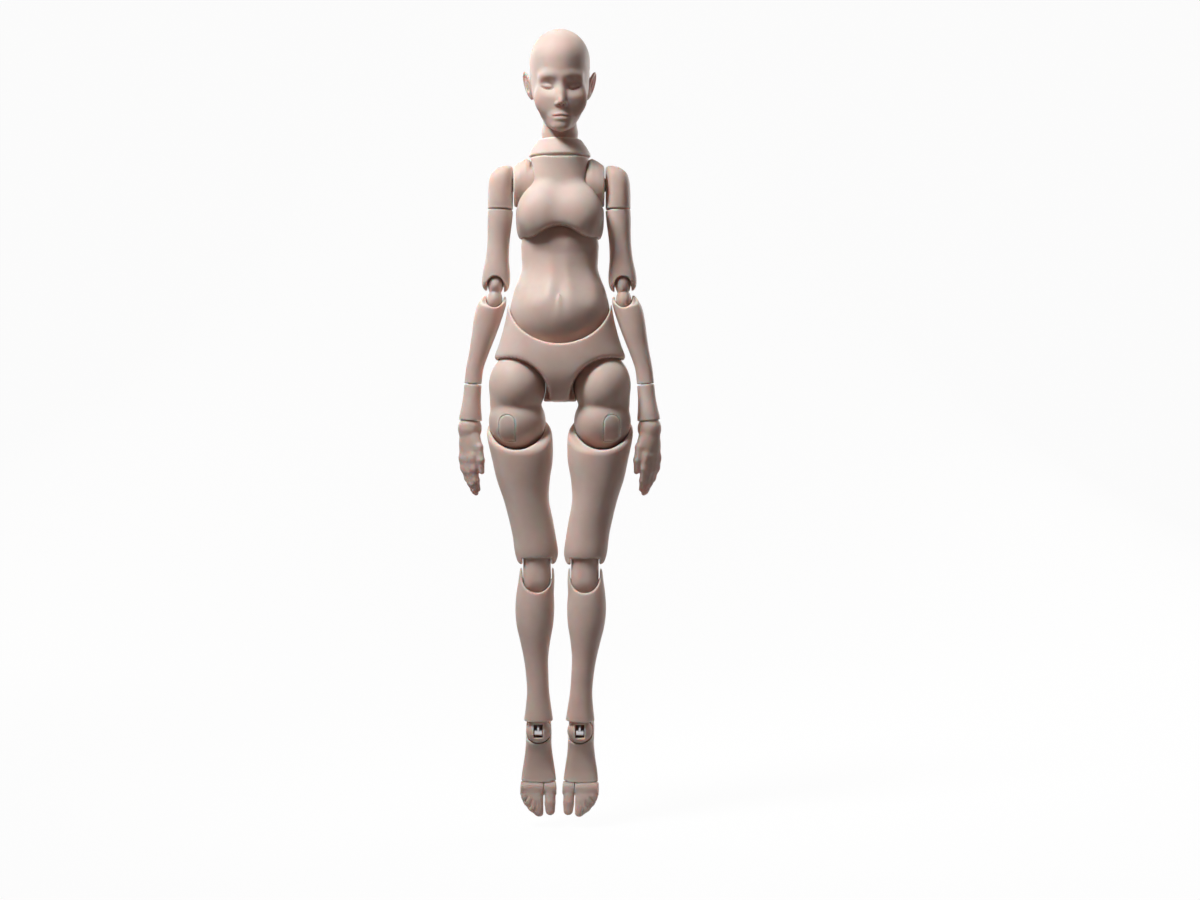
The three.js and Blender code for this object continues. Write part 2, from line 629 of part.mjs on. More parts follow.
function thigh() {
  const rows = [
    [-0.14, 0.95, 0.93, -0.02], [0, 1, 0.94, 0.02], [0.14, 1, 0.96, 0.09], [0.29, 0.93, 0.92, 0.16],
    [0.43, 0.82, 0.84, 0.185], [0.58, 0.7, 0.74, 0.277], [0.73, 0.675, 0.66, 0.42],
    [0.85, 0.665, 0.62, 0.52], [0.97, 0.665, 0.6, 0.59], [1.06, 0.58, 0.52, 0.61],
  ]
  const shell = loft({ rows, length: -thighLength, width: thighHalfWidth, depth: thighHalfDepth,
    sides: 14, rings: 9, power: 2.1 })
  const knee = [kneeAside, 0, -thighLength]
  return solid(shell)
    .subtract(socket(hipRadius, [0, 0, 0]))
    .subtract(bar(hipRadius + gap, [0, -room, 0], [0, 0, 0], 24))
    .subtract(beyond([0, 0, -0.33 * hipRadius], 34))
    .subtract(lobeSeat(kneeRadius, kneeHalfWidth, knee))
    .subtract(slotBelow(kneeHalfWidth, [kneeAside, 0, -thighLength - 0.1 * kneeRadius]))
    .subtract(beyond([0, kneeRadius, 0.57 * kneeRadius - thighLength], reliefSlope, -1))
    .subtract(bar(channelRadius, [0, 0, -0.5 * hipRadius], [0, 0, -0.2 * thighLength - hipRadius]))
}

function shin() {
  const rows = [
    [-0.075, 0.8, 0.78], [0, 0.9, 0.84, -0.03], [0.09, 0.96, 0.92, -0.1, -0.03],
    [0.19, 1, 1, -0.12, -0.08], [0.3, 0.94, 0.99, -0.12, -0.1], [0.41, 0.77, 0.86, -0.1, -0.08],
    [0.52, 0.63, 0.7, -0.06, -0.04], [0.62, 0.58, 0.61, 0, 0], [0.74, 0.57, 0.58, 0.05, 0],
    [0.85, 0.66, 0.62, 0.07, 0], [0.935, 0.75, 0.67, 0.07, 0],
  ]
  const shell = loft({ rows, length: -shinLength, width: shinHalfWidth, depth: shinHalfDepth,
    rings: 10, power: 2.1 })
  return solid(shell)
    .subtract(lobeSeat(kneeRadius, kneeHalfWidth, [0, 0, 0]))
    .subtract(slotAbove(kneeHalfWidth, [0, 0, 0.1 * kneeRadius]))
    .subtract(mouth(kneeHalfWidth + gap, [0, 0, kneeHalfWidth - 0.7 * kneeRadius], 1))
    .subtract(beyond([0, shinHalfDepth * 0.9, -0.27 * kneeRadius], -reliefSlope))
    .subtract(socket(ankleRadius, [ankleAside, 0, -shinLength]))
    .subtract(bar(channelRadius, [ankleAside, 0, -shinLength],
      [ankleAside, 0, 1.2 * ankleRadius - shinLength]))
}

function ankleBall() {
  const slot = [2 * slotHalfWidth, room, 1.04 * ankleRadius]
  return ball(ankleRadius)
    .subtract(block(slot, [0, -room / 2 + 0.35 * ankleRadius, 0.04 * ankleRadius]))
    .subtract(bar(slotHalfWidth, [0, 0, 0], [0, 0, room], 8))
}

const toeAxis = toeRadius + gap - ankleHeight

function foot() {
  const rows = [
    [-heelLength / footLength, 0.3, 0.53, 0, -0.26], [-0.38, 0.5, 0.85, 0, -0.1],
    [-0.2, 0.66, 1.19, 0, 0.19], [0, 0.7, 1.33, 0, 0.33], [0.2, 0.7, 1.15, 0, 0.19],
    [0.4, 0.76, 0.83, 0, -0.08], [0.7, 0.9, 0.6, 0, -0.385], [1, 1, 0.48, 0, -0.5],
  ]
  const shell = loft({ rows, length: -footLength, width: footHalfWidth, depth: ankleHeight / 2,
    rings: 8, power: 2.6 })
  shell.rotateX(-Math.PI / 2).translate(0, 0, -ankleHeight / 2)
  const hinge = [[-room, -footLength, toeAxis], [room, -footLength, toeAxis]]
  const tip = THREE.MathUtils.degToRad(footPitch)
  const up = (reach) => [0, reach * Math.sin(tip), reach * Math.cos(tip)]
  return solid(shell)
    .subtract(socket(ankleRadius, [0, 0, 0]))
    .subtract(bar(0.75 * shinHalfWidth + gap, up(shinRim - gap), up(room), 20))
    .subtract(bar(ankleRadius + gap, [0, 0, 0], [0, 0, room], 16))
    .subtract(bar(toeRadius + gap, ...hinge, 14))
    .subtract(block([room, room, room], [0, -footLength - room / 2, 0]))
}

// Toes as capsules that share one round root on the hinge; spans are across, from the inner side
function toes(widths, start, taper) {
  let across = start
  const shapes = widths.flatMap((width, i) => {
    const middle = across - width / 2
    across -= width
    const length = toeLength * (1 - taper * i)
    const radius = toeRadius * (1 - 0.1 * Math.min(i, 1) - 0.06 * i)
    const drop = radius - toeRadius
    return [
      ellipsoid([0.54 * width, 0.5 * length, radius], [middle, -0.52 * length, drop], 8),
      block([width, 0.5 * length, 1.7 * radius], [middle, -0.25 * length, drop]),
    ]
  })
  const root = bar(toeRadius, [start, 0, 0], [across, 0, 0], 10)
  return joined(root, ...shapes)
}

const bigToe = () => toes([bigToeWidth], footHalfWidth - gap, 0)
const smallToes = () => toes(smallToeWidths, footHalfWidth - bigToeWidth - 2 * gap, 0.19)

// Assembly: a group for each pivot, nested from the pelvis outwards
const turned = (at, pitch = 0, lean = 0, turn = 0) => {
  const group = new THREE.Group()
  group.position.set(...at)
  group.rotation.set(...[pitch, lean, turn].map(THREE.MathUtils.degToRad), 'ZYX')
  return group
}

function arm(side, pose) {
  const at = turned([-yokeSpread - pose.reach, 0, yokeHeight - chestBend])
  const upper = turned([-yokeFace, 0, 0])
  const turning = turned([-gap - shoulderHalfWidth, 0, -shoulderDrop - gap], 0, pose.arm)
  const elbow = turned([0, 0, -upperArmLength])
  const lower = turned([0, 0, -elbowPitch])
  const twist = turned([forearmAside, 0, -forearmLength], 0, pose.sleeve - pose.arm)
  const wrist = turned([0, 0, -sleeveLength], 0, -pose.sleeve, pose.hand)
  at.add(piece(`${side}_yoke`, yoke()), upper)
  upper.add(piece(`${side}_shoulder`, shoulder()), turning)
  turning.add(piece(`${side}_upper_arm`, upperArm()), elbow)
  elbow.add(piece(`${side}_elbow`, doubleLobe(elbowRadius, elbowHalfWidth, elbowPitch, 0.78, 0)), lower)
  lower.add(piece(`${side}_forearm`, forearm()), twist)
  twist.add(piece(`${side}_wrist_sleeve`, sleeve()), wrist)
  wrist.add(piece(`${side}_hand`, hand()), piece(`${side}_hand_hook`, handHook(), steel))
  return at
}

function leg(side, pose) {
  const at = turned([-hipSpread, 0, hipHeight])
  const lower = turned([0, 0, -hipPitch], 0, pose.thigh)
  const knee = turned([kneeAside, 0, -thighLength], 0, pose.knee)
  const lowerKnee = turned([0, 0, -kneePitch], 0, pose.shin)
  const ankle = turned([ankleAside, 0, -shinLength], 0, -pose.thigh - pose.knee - pose.shin)
  const sole = turned([0, 0, 0], footPitch, 0, pose.foot)
  const bigHinge = turned([0, -footLength, toeAxis])
  const smallHinge = bigHinge.clone()
  at.add(piece(`${side}_hip`, hip()), piece(`${side}_slot_plug`, slotPlug()), lower)
  lower.add(piece(`${side}_thigh`, thigh()), knee)
  knee.add(piece(`${side}_knee`, doubleLobe(kneeRadius, kneeHalfWidth, kneePitch, 0.62,
    0.4 * kneeRadius)), lowerKnee)
  lowerKnee.add(piece(`${side}_shin`, shin()), ankle)
  ankle.add(piece(`${side}_ankle_ball`, ankleBall()), piece(`${side}_ankle_hook`, ankleHook(), steel))
  ankle.add(sole)
  sole.add(piece(`${side}_foot`, foot()), bigHinge, smallHinge)
  bigHinge.add(piece(`${side}_big_toe`, bigToe()))
  smallHinge.add(piece(`${side}_small_toes`, smallToes()))
  return at
}

const figure = new THREE.Group()
const waist = turned([0, waistSetback, waistHeight])
const ribs = turned([0, 0, chestBend - waistHeight])
const throat = turned([0, 0, collarHeight - chestBend])
const nape = turned([0, 0, neckSeat], headPitch)
const head = turned([0, 0, neckLength], 0, 0, headTurn)
const crown = turned([0, 0, 0])
figure.add(piece('pelvis', pelvis()), waist)
waist.add(piece('belly', belly()), ribs)
const reaches = [[-1, stance.right.reach], [1, stance.left.reach]]
ribs.add(piece('chest', chest(reaches)), throat)
throat.add(piece('neck_base', neckBase()), nape)
nape.add(piece('neck', neck()), head)
head.add(piece('head_face', headFace()), piece('neck_hook', neckHook(), steel), crown)
crown.add(piece('head_cap', headCap()))

ribs.add(arm('right', stance.right))
figure.add(leg('right', stance.right))
const mirror = new THREE.Group()
mirror.scale.x = -1
mirror.add(arm('left', stance.left))
ribs.add(mirror)
const mirrorLegs = new THREE.Group()
mirrorLegs.scale.x = -1
mirrorLegs.add(leg('left', stance.left))
figure.add(mirrorLegs)

export default figure
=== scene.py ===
"""Strung resin figure, one sixth of life size: finished pieces, finishes, light and camera.

Every piece is modelled in the frame of its own pivot, in millimetres, as distances to its surface
on a block of points, and then carried to its place in the figure, in metres.
"""
import json
import math

import bmesh
import bpy
import numpy as np
import openvdb
from mathutils import Matrix, Vector


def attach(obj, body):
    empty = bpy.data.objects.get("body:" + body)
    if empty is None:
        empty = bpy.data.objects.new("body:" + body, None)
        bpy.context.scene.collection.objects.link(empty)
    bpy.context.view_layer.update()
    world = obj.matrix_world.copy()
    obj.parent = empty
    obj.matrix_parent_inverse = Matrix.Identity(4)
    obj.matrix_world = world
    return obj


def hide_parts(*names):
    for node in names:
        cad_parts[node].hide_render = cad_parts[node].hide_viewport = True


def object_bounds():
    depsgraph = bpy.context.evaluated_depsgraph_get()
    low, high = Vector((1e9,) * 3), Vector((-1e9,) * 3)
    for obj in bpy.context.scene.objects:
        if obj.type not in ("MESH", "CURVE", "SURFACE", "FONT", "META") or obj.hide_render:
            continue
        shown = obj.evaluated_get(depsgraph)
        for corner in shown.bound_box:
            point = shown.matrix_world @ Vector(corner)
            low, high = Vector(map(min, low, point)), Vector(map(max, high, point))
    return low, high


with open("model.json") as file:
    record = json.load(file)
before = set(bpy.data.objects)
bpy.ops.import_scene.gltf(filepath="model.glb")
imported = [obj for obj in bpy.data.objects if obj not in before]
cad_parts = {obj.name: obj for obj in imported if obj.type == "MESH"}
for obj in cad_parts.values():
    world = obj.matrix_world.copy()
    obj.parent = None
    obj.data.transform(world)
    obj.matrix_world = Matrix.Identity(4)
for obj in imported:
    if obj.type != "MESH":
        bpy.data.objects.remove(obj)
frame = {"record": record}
cad_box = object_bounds()
body_of = {node: body for body, nodes in frame["record"]["behaviour"]["bodies"].items()
           for node in nodes}

MM = 0.001
GAP = 0.3
RIM = 0.7
MARK_SPREAD = 0.3

# How far a cutter reaches past a piece, and half of that for boxes, which go by their middle
PAST, HALF = 40, 20

# Sizes shared by pieces that meet, in millimetres
CHANNEL = 1.8
BOSS, BOSS_LENGTH = 2.4, 1.4
WIRE, EYE = 0.6, 0.8
HEAD_HEIGHT, HEAD_WIDE, HEAD_DEEP, CHIN_DROP, HEAD_TURN = 37.4, 11.0, 15.0, 7.6, 3
CAP_SLANT, CAP_SETBACK, SKULL_WALL = 25.4, 0.564 * (HEAD_HEIGHT - CHIN_DROP), 2.4
CAVITY_AT, CAVITY = (0, 1.6, 18), (8.6, 11.16, 9.4)
NECK_BALL, NECK_TOP, NECK_LENGTH, NECK_SEAT = 6.6, 6.3, 8.3, 1.9
CHEST_HEIGHT, CHEST_WIDE, CHEST_DEEP, CHEST_FLOOR, CHEST_BEND = 29.8, 16.0, 12.6, 1.9, 57.5
COLLAR, COLLAR_WIDE, COLLAR_DROP = 12.6, 12.0, 6.4
COLLAR_HEIGHT = CHEST_BEND + CHEST_FLOOR + CHEST_HEIGHT + 0.56 * COLLAR
RIB_WIDE, RIB_ROUND = 14.2, 11.0
BELLY_WIDE, BELLY_ROUND, WAIST_HEIGHT, WAIST_BACK = 18.2, 15.8, 33.2, 1.0
ARCH, ARCH_DROP = 9.1, 3.1
PELVIS_HEIGHT, PELVIS_WIDE, PELVIS_DEEP, SADDLE_WIDE, LEG_ARCH = 36.4, 24.2, 15.2, 3.6, 15.4
RIM_WIDE, RIM_HEIGHT, RIM_DROP = 18.7, 37.5, 16.6
YOKE, YOKE_FACE, YOKE_INNER, YOKE_SPREAD, YOKE_RISE, YOKE_TURN = 7.2, 5.0, 1.2, 11.4, 9.2, 12
YOKE_HEIGHT = CHEST_BEND + CHEST_FLOOR + 0.678 * CHEST_HEIGHT
SHOULDER_WIDE, SHOULDER_DEEP, SHOULDER_RISE, SHOULDER_DROP = 4.6, 6.2, 6.9, 8.9
UPPER_ARM, UPPER_WIDE = 27.5, 5.1
ELBOW, ELBOW_WIDE, ELBOW_PITCH = 4.1, 2.7, 5.5
FOREARM, FOREARM_WIDE, FOREARM_ASIDE = 31.2, 5.0, -6.0
SLEEVE, SLEEVE_WIDE, SLEEVE_DEEP, WRIST = 16.2, 4.2, 4.0, 4.35
HAND, HAND_WIDE, HAND_DEEP, FINGER, THUMB = 24.4, 5.8, 2.7, 1.25, 13.0
HIP, HIP_DEEP, HIP_SPREAD, HIP_HEIGHT, HIP_PITCH = 10.4, 12.3, 15.6, 5.9, 12.9
PLUG_WIDE, PLUG_HEIGHT, PLUG_DEPTH, PLUG_ASIDE, PLUG_TOP = 3.0, 9.6, 4.4, -3.4, 2.2
PLUG_FIT = 0.1
THIGH, THIGH_WIDE, THIGH_DEEP = 49.5, 11.9, 12.2
KNEE, KNEE_WIDE, KNEE_PITCH, KNEE_ASIDE = 6.0, 4.9, 8.5, 7.26
SHIN, SHIN_WIDE, SHIN_DEEP, SHIN_RIM = 55.4, 7.15, 8.0, 3.6
ANKLE, ANKLE_ASIDE, SLOT_WIDE = 4.6, 0.5, 1.65
FOOT, HEEL, FOOT_WIDE, FOOT_HIGH, FOOT_PITCH = 20.0, 9.0, 6.7, 9.6, 75
TOE_ROUND, TOE, BIG_TOE_WIDE, SMALL_TOES = 2.3, 10.6, 4.3, (2.4, 2.2, 2.0, 1.7)
TOE_AXIS = TOE_ROUND + GAP - FOOT_HIGH

# How the photographed figure stands: its own right side, then its left
STANCE = {
    "right": dict(reach=0.5, arm=3.7, sleeve=4, hand=-50, thigh=0, knee=0, shin=0, foot=0),
    "left": dict(reach=0, arm=3.7, sleeve=5, hand=-45, thigh=1, knee=-1.2, shin=-1.2, foot=8),
}


def soft_least(a, b, soft):
    if not soft:
        return np.minimum(a, b)
    near = np.maximum(soft - np.abs(a - b), 0)
    return np.minimum(a, b) - near * near / (4 * soft)


def meeting(a, b, spread=MARK_SPREAD):
    """A mark that is 1 where two surfaces meet and fades out around their meeting line"""
    return np.exp(-(a ** 2 + b ** 2) / spread).astype(np.float32)


def stronger(mark, other):
    return other if mark is None else np.maximum(mark, other)


def off_outline(share, x, y):
    """About how far points lie off an outline, of whose half size they are at this share"""
    share = np.maximum(share, 1e-3)
    return (share - 1) * np.sqrt(x * x + y * y) / share


class Form:
    """Distances from a block's points to a surface, negative inside it.

    rim marks the rounded edges of cuts, which are painted pale as a highlight, and the other mark
    what a cutter left, such as a socket, and pressed creases, which are painted dark as shade.
    """

    def __init__(self, values, rim=None, bare=None):
        self.values = values
        self.rim = rim
        self.bare = bare

    def join(self, *others, soft=0.0):
        values = self.values
        for other in others:
            values = soft_least(values, other.values, soft)
        return Form(values, self.rim, self.bare)

    def cut(self, *others, soft=RIM):
        values, rim, bare = self.values, self.rim, self.bare
        for other in others:
            # The cutter's inside is marked for painted shade, and its edge for a painted highlight
            inner = np.clip((-other.values - values) * 4, 0, 1).astype(np.float32)
            rim = stronger(rim, meeting(values, other.values))
            bare = stronger(bare, inner)
            values = -soft_least(-values, other.values, soft)
        return Form(values, rim, bare)

    def keep(self, other, soft=RIM):
        rim = stronger(self.rim, meeting(self.values, other.values))
        return Form(-soft_least(-self.values, -other.values, soft), rim, self.bare)

    def plain(self):
        """The same shape with neither mark, where a cut is part of the smooth form"""
        return Form(self.values)

    def unrimmed(self):
        return Form(self.values, None, self.bare)

    def grown(self, by):
        return Form(self.values - by, self.rim, self.bare)

    def crease(self, other, depth, width, below=None):
        """Joins another form, presses a groove in along the meeting line and marks the groove for
        painted shade
        """
        near = meeting(self.values, other.values, width ** 2)
        if below is not None:
            near = near * np.clip(below * 2, 0, 1).astype(np.float32)
        values = soft_least(self.values, other.values, 0.3) + depth * near
        return Form(values, self.rim, stronger(self.bare, near))


def oval(offsets, radii):
    """An egg by the offsets from its middle, or with two of them a pipe with an oval section"""
    near = np.sqrt(sum((v / radius) ** 2 for v, radius in zip(offsets, radii)))
    slope = np.sqrt(sum((v / radius ** 2) ** 2 for v, radius in zip(offsets, radii)))
    return Form(near * (near - 1) / np.maximum(slope, 1e-4))


class Block:
    """A box of evenly spaced points on which forms are worked out"""

    def __init__(self, low, high, step):
        self.low, self.step = np.array(low, dtype=float), step
        sizes = np.ceil((np.array(high) - self.low) / step).astype(int) + 1
        self.shape = tuple(sizes)
        self.x, self.y, self.z = (
            (self.low[i] + step * np.arange(sizes[i])).astype(np.float32).reshape(
                [-1 if j == i else 1 for j in range(3)])
            for i in range(3))

    def seen_from(self, at, pitch=0.0, lean=0.0, turn=0.0):
        x, y, z = self.x - at[0], self.y - at[1], self.z - at[2]
        if not (pitch or lean or turn):
            return x, y, z
        way = placed((0, 0, 0), pitch, lean, turn).transposed()
        return tuple(np.float32(way[i][0]) * x + np.float32(way[i][1]) * y
                     + np.float32(way[i][2]) * z for i in range(3))

    def ball(self, at, radius):
        x, y, z = self.seen_from(at)
        return Form(np.sqrt(x * x + y * y + z * z) - radius)

    def egg(self, at, radii, pitch=0.0, lean=0.0, turn=0.0):
        return oval(self.seen_from(at, pitch, lean, turn), radii)

    def rod(self, start, end, radius, end_radius=None):
        """A rod with round ends, which may taper"""
        end_radius = radius if end_radius is None else end_radius
        way = np.array(end, dtype=float) - start
        x, y, z = self.seen_from(start)
        along = np.clip((x * way[0] + y * way[1] + z * way[2]) / (way @ way), 0, 1)
        off = np.sqrt((x - way[0] * along) ** 2 + (y - way[1] * along) ** 2
                      + (z - way[2] * along) ** 2)
        return Form(off - radius - (end_radius - radius) * along)

    def chain(self, points, soft=0.4):
        """Rods through points given as (x, y, z, radius)"""
        rods = [self.rod(a[:3], b[:3], a[3], b[3]) for a, b in zip(points, points[1:])]
        return rods[0].join(*rods[1:], soft=soft)

    def pipe(self, start, end, radius):
        """A rod with flat ends, for bores and bosses"""
        way = np.array(end, dtype=float) - start
        length = math.sqrt(way @ way)
        way /= length
        x, y, z = self.seen_from(start)
        along = x * way[0] + y * way[1] + z * way[2]
        off = np.sqrt(np.maximum(x * x + y * y + z * z - along * along, 0))
        return Form(np.maximum(off - radius, np.abs(along - length / 2) - length / 2))

    def channel(self, start=-2 * PAST, end=2 * PAST):
        """The upright bore for the stringing, by its two heights or through the whole piece"""
        return self.pipe((0, 0, start), (0, 0, end), CHANNEL)

    def drum(self, at, radius, half_width, edge):
        """A round-edged disc about X, the form of every lobe that rolls on a hinge"""
        x, y, z = self.seen_from(at)
        out = np.sqrt(y * y + z * z) - (radius - edge)
        side = np.abs(x) - (half_width - edge)
        return Form(np.minimum(np.maximum(out, side), 0)
                    + np.sqrt(np.maximum(out, 0) ** 2 + np.maximum(side, 0) ** 2) - edge)

    def box(self, at, half, edge=0.0, pitch=0.0):
        offsets = [np.abs(v) - h + edge for v, h in zip(self.seen_from(at, pitch), half)]
        inside = np.minimum(np.maximum(np.maximum(offsets[0], offsets[1]), offsets[2]), 0)
        outside = np.sqrt(sum(np.maximum(v, 0) ** 2 for v in offsets))
        return Form(inside + outside - edge)

    def beyond(self, at, way):
        """Everything on the side of a plane that way points to"""
        length = math.sqrt(sum(v * v for v in way))
        x, y, z = self.seen_from(at)
        values = -(x * way[0] + y * way[1] + z * way[2]) / length
        return Form(np.broadcast_to(values, self.shape).astype(np.float32))

    def loft(self, rows, length, width, depth, power=2.0, top=0.0, edge=0.8, middle=0.0,
             lying=None):
        """A rounded outline that changes along Z. A row is [along, wide, deep, aside, ahead],
        each a share of the length, half width or half depth. With lying, a height, it runs
        along Y instead."""
        across, height = (self.x - middle, self.z)
        deep_way = self.y
        if lying is not None:
            deep_way, height = lying - self.z, self.y
        knots = np.array([list(row) + [0] * (5 - len(row)) for row in rows], dtype=float)
        knots *= (length, width, depth, width, -depth)
        knots[:, 0] += top
        if length < 0:
            knots = knots[::-1]
        padded = np.vstack([2 * knots[0] - knots[1], knots, 2 * knots[-1] - knots[-2]])
        spans = []
        for a, b, c, d in zip(padded, padded[1:], padded[2:], padded[3:]):
            t = np.linspace(0, 1, 12, endpoint=False)[:, None]
            spans.append(b + 0.5 * t * (c - a) + t * t * (a - 2.5 * b + 2 * c - 0.5 * d)
                         + t ** 3 * (1.5 * (b - c) + 0.5 * (d - a)))
        line = np.vstack(spans + [knots[-1:]])
        line = line[np.argsort(line[:, 0], kind="stable")]
        wide, deep, aside, ahead = (
            np.interp(height, line[:, 0], line[:, i]).astype(np.float32) for i in range(1, 5))
        x, y = across - aside, deep_way - ahead
        share = ((np.abs(x) / wide) ** power + (np.abs(y) / deep) ** power) ** (1 / power)
        around = off_outline(share, x, y)
        ends = np.maximum(height - line[-1, 0], line[0, 0] - height)
        # The end edges are marked for a pale painted highlight
        rim = meeting(around, ends)
        return Form(-soft_least(-around, -ends, edge), rim)

    def mesh(self, form):
        """The surface as points in millimetres, its faces, and the two marks, for painted
        highlight and painted shade, at each point
        """
        volume = openvdb.FloatGrid(3 * self.step)
        values = np.clip(form.values, -3 * self.step, 3 * self.step).astype(np.float32)
        volume.copyFromArray(np.array(np.broadcast_to(values, self.shape), order="C"))
        points, quads = volume.convertToQuads()
        marks = [self._sampled(mark, points) for mark in (form.rim, form.bare)]
        points = points * self.step + self.low
        a, b, c, d = (points[quads[:, i]] for i in range(4))
        room = np.einsum("ij,ij->", a, np.cross(b, c)) + np.einsum("ij,ij->", a, np.cross(c, d))
        return points, quads if room > 0 else quads[:, ::-1], marks

    def _sampled(self, mark, points):
        if mark is None:
            return np.zeros(len(points), dtype=np.float32)
        mark = np.broadcast_to(mark, self.shape)
        nearest = np.clip(np.rint(points).astype(int), 0, np.array(self.shape) - 1)
        return mark[tuple(nearest.T)]


def placed(at, pitch=0.0, lean=0.0, turn=0.0):
    turns = (Matrix.Rotation(math.radians(angle), 4, axis)
             for angle, axis in ((turn, "Z"), (lean, "Y"), (pitch, "X")))
    about_z, about_y, about_x = turns
    return Matrix.Translation(at) @ about_z @ about_y @ about_x


# Head and neck

def cap_plane(extra=0.0):
    slant = math.radians(CAP_SLANT)
    way = (0, math.cos(slant), math.sin(slant))
    return [v * (CAP_SETBACK + extra) for v in way], way


def skull(block):
    face = block.loft(
        [[0, 0.15, 0.16, 0, 0.69], [0.03, 0.34, 0.32, 0, 0.585], [0.06, 0.46, 0.42, 0, 0.5],
         [0.14, 0.635, 0.55, 0, 0.385], [0.21, 0.73, 0.64, 0, 0.315], [0.27, 0.82, 0.74, 0, 0.225],
         [0.34, 0.9, 0.83, 0, 0.145], [0.45, 0.955, 0.92, 0, 0.05], [0.56, 0.985, 0.96, 0, 0.02],
         [0.679, 1, 0.973, 0, 0.007], [0.76, 0.97, 0.944, 0, 0.007]],
        HEAD_HEIGHT, HEAD_WIDE, HEAD_DEEP, power=2.0, top=-CHIN_DROP, edge=1.0)
    crown = block.egg((0, -0.1, 17.8), (HEAD_WIDE, 14.6, 12.0))
    head = face.join(crown)
    for side in (-1, 1):
        head = head.join(block.egg((side * 4.9, -9.7, 3.9), (4.5, 2.7, 5.2)), soft=3)
        head = head.join(block.egg((side * 4.2, -11.7, 11.6), (3.4, 1.6, 1.6), turn=side * 20),
                         soft=2.6)
        head = head.cut(block.egg((side * 4.4, -15.2, 8.5), (3.4, 2.8, 2.1), turn=side * 22,
                                  lean=side * -8), soft=3)
    head = head.join(
        block.egg((0, -11.9, -2.5), (3.7, 2.6, 2.8)), block.egg((0, -12.3, -5.8), (2.6, 1.8, 1.3)),
        soft=1.8)
    nose = block.chain([(0, -12.7, 10.2, 1.1), (0, -14.1, 6.2, 0.95), (0, -15.4, 2.8, 1.15)],
                       soft=0.8)
    head = head.join(nose, soft=1.9).plain()
    for side in (-1, 1):
        head = head.join(block.egg((side * 1.45, -14.3, 2.0), (0.85, 1.1, 0.85)), soft=0.6)
        head = head.cut(block.rod((side * 0.65, -15.3, 1.4), (side * 0.75, -14.6, 1.8), 0.34),
                        soft=0.2)
        lid = block.egg((side * 4.75, -10.65, 8.1), (2.85, 1.75, 1.5), turn=side * 22,
                        lean=side * -14)
        # The lash line is pressed in and painted with shade
        head = head.crease(lid, 0.35, 0.3, 8.4 - block.z)
    head = head.unrimmed()
    lower = block.egg((0, -13.75, -3.3), (2.3, 1.15, 0.85))
    upper = block.egg((-1.15, -13.7, -1.8), (1.95, 1.2, 0.65), lean=-9, turn=-18).join(
        block.egg((1.15, -13.7, -1.8), (1.95, 1.2, 0.65), lean=9, turn=18), soft=0.4)
    head = head.join(lower, soft=0.6)
    # The line between the lips is pressed in and painted with shade
    head = head.crease(upper, 0.4, 0.32, -1.95 - block.z)
    for side in (-1, 1):
        head = head.join(ear(block, side), soft=0.5)
    return head


def ear(block, side):
    at = (side * 11.5, 1.4, 9.4)
    tilt = dict(pitch=-8, lean=side * 15, turn=side * -22)
    shell = block.egg(at, (0.95, 3.0, 5.3), **tilt)
    hollow = block.egg((at[0] + side * 0.9, at[1] - 0.3, at[2] + 0.9), (0.75, 1.9, 3.5), **tilt)
    fold = block.egg((at[0] + side * 0.3, at[1] + 0.4, at[2] + 0.6), (0.5, 0.7, 2.3), **tilt)
    return shell.cut(hollow, soft=0.4).join(fold, soft=0.4)


def head_face():
    block = Block((-15.2, -19, -8), (15.2, 17, 31), 0.28)
    at, way = cap_plane()
    return block, (
        skull(block)
        .cut(block.beyond(at, way), soft=0.5)
        .cut(block.egg(CAVITY_AT, CAVITY), soft=0.4)
        .cut(block.ball((0, 0, 0), NECK_TOP + GAP)
             .join(block.pipe((0, 0, -PAST), (0, 0, 0), NECK_BALL + GAP)), soft=0.8)
        .cut(block.channel(0, CAVITY_AT[2]), soft=0.4))


def head_cap():
    block = Block((-12, 4, 2), (12, 17, 31), 0.262)
    seam, way = cap_plane(GAP)
    inner, _ = cap_plane(-1.2)
    cavity = block.egg(CAVITY_AT, CAVITY)
    lip = cavity.grown(-GAP * 1.4).keep(block.beyond(inner, way), soft=0.2)
    return block, (skull(block).keep(block.beyond(seam, way), soft=0.5)
                   .join(lip, soft=0.2).cut(cavity.grown(-SKULL_WALL / 2), soft=0.3))


def neck():
    block = Block((-7.6, -7.6, -7.6), (7.6, 7.6, 15.6), 0.238)
    column = block.loft([[0, 0.99, 0.98], [0.5, 0.93, 0.9], [1, 0.93, 0.91]],
                        NECK_LENGTH, NECK_BALL, NECK_BALL)
    throat = block.egg((0, -5.2, 4.2), (1.3, 1.1, 2.6), pitch=-6)
    return block, (
        block.ball((0, 0, 0), NECK_BALL)
        .join(column, block.ball((0, 0, NECK_LENGTH), NECK_TOP), soft=0.6)
        .join(throat, soft=1.2)
        .cut(block.channel()))


def neck_base():
    block = Block((-12.8, -12.8, -13.6), (12.8, 12.8, 1), 0.262)
    skirt = block.loft(
        [[0, 0.94, 0.92], [0.15, 0.93, 0.91], [0.5, 0.83, 0.82], [0.85, 0.7, 0.7],
         [0.98, 0.65, 0.66]],
        COLLAR_DROP, COLLAR_WIDE, COLLAR_WIDE, top=-COLLAR_DROP, edge=0.4)
    bowl = block.ball((0, 0, 0), COLLAR).keep(block.beyond((0, 0, 0.3 - COLLAR_DROP), (0, 0, -1)),
                                             soft=0.3)
    return block, (
        skirt.join(bowl, soft=0.3)
        .cut(block.ball((0, 0, NECK_SEAT), NECK_BALL + GAP), soft=0.5)
        .cut(block.channel(-PAST, 0), soft=0.4))


# Trunk

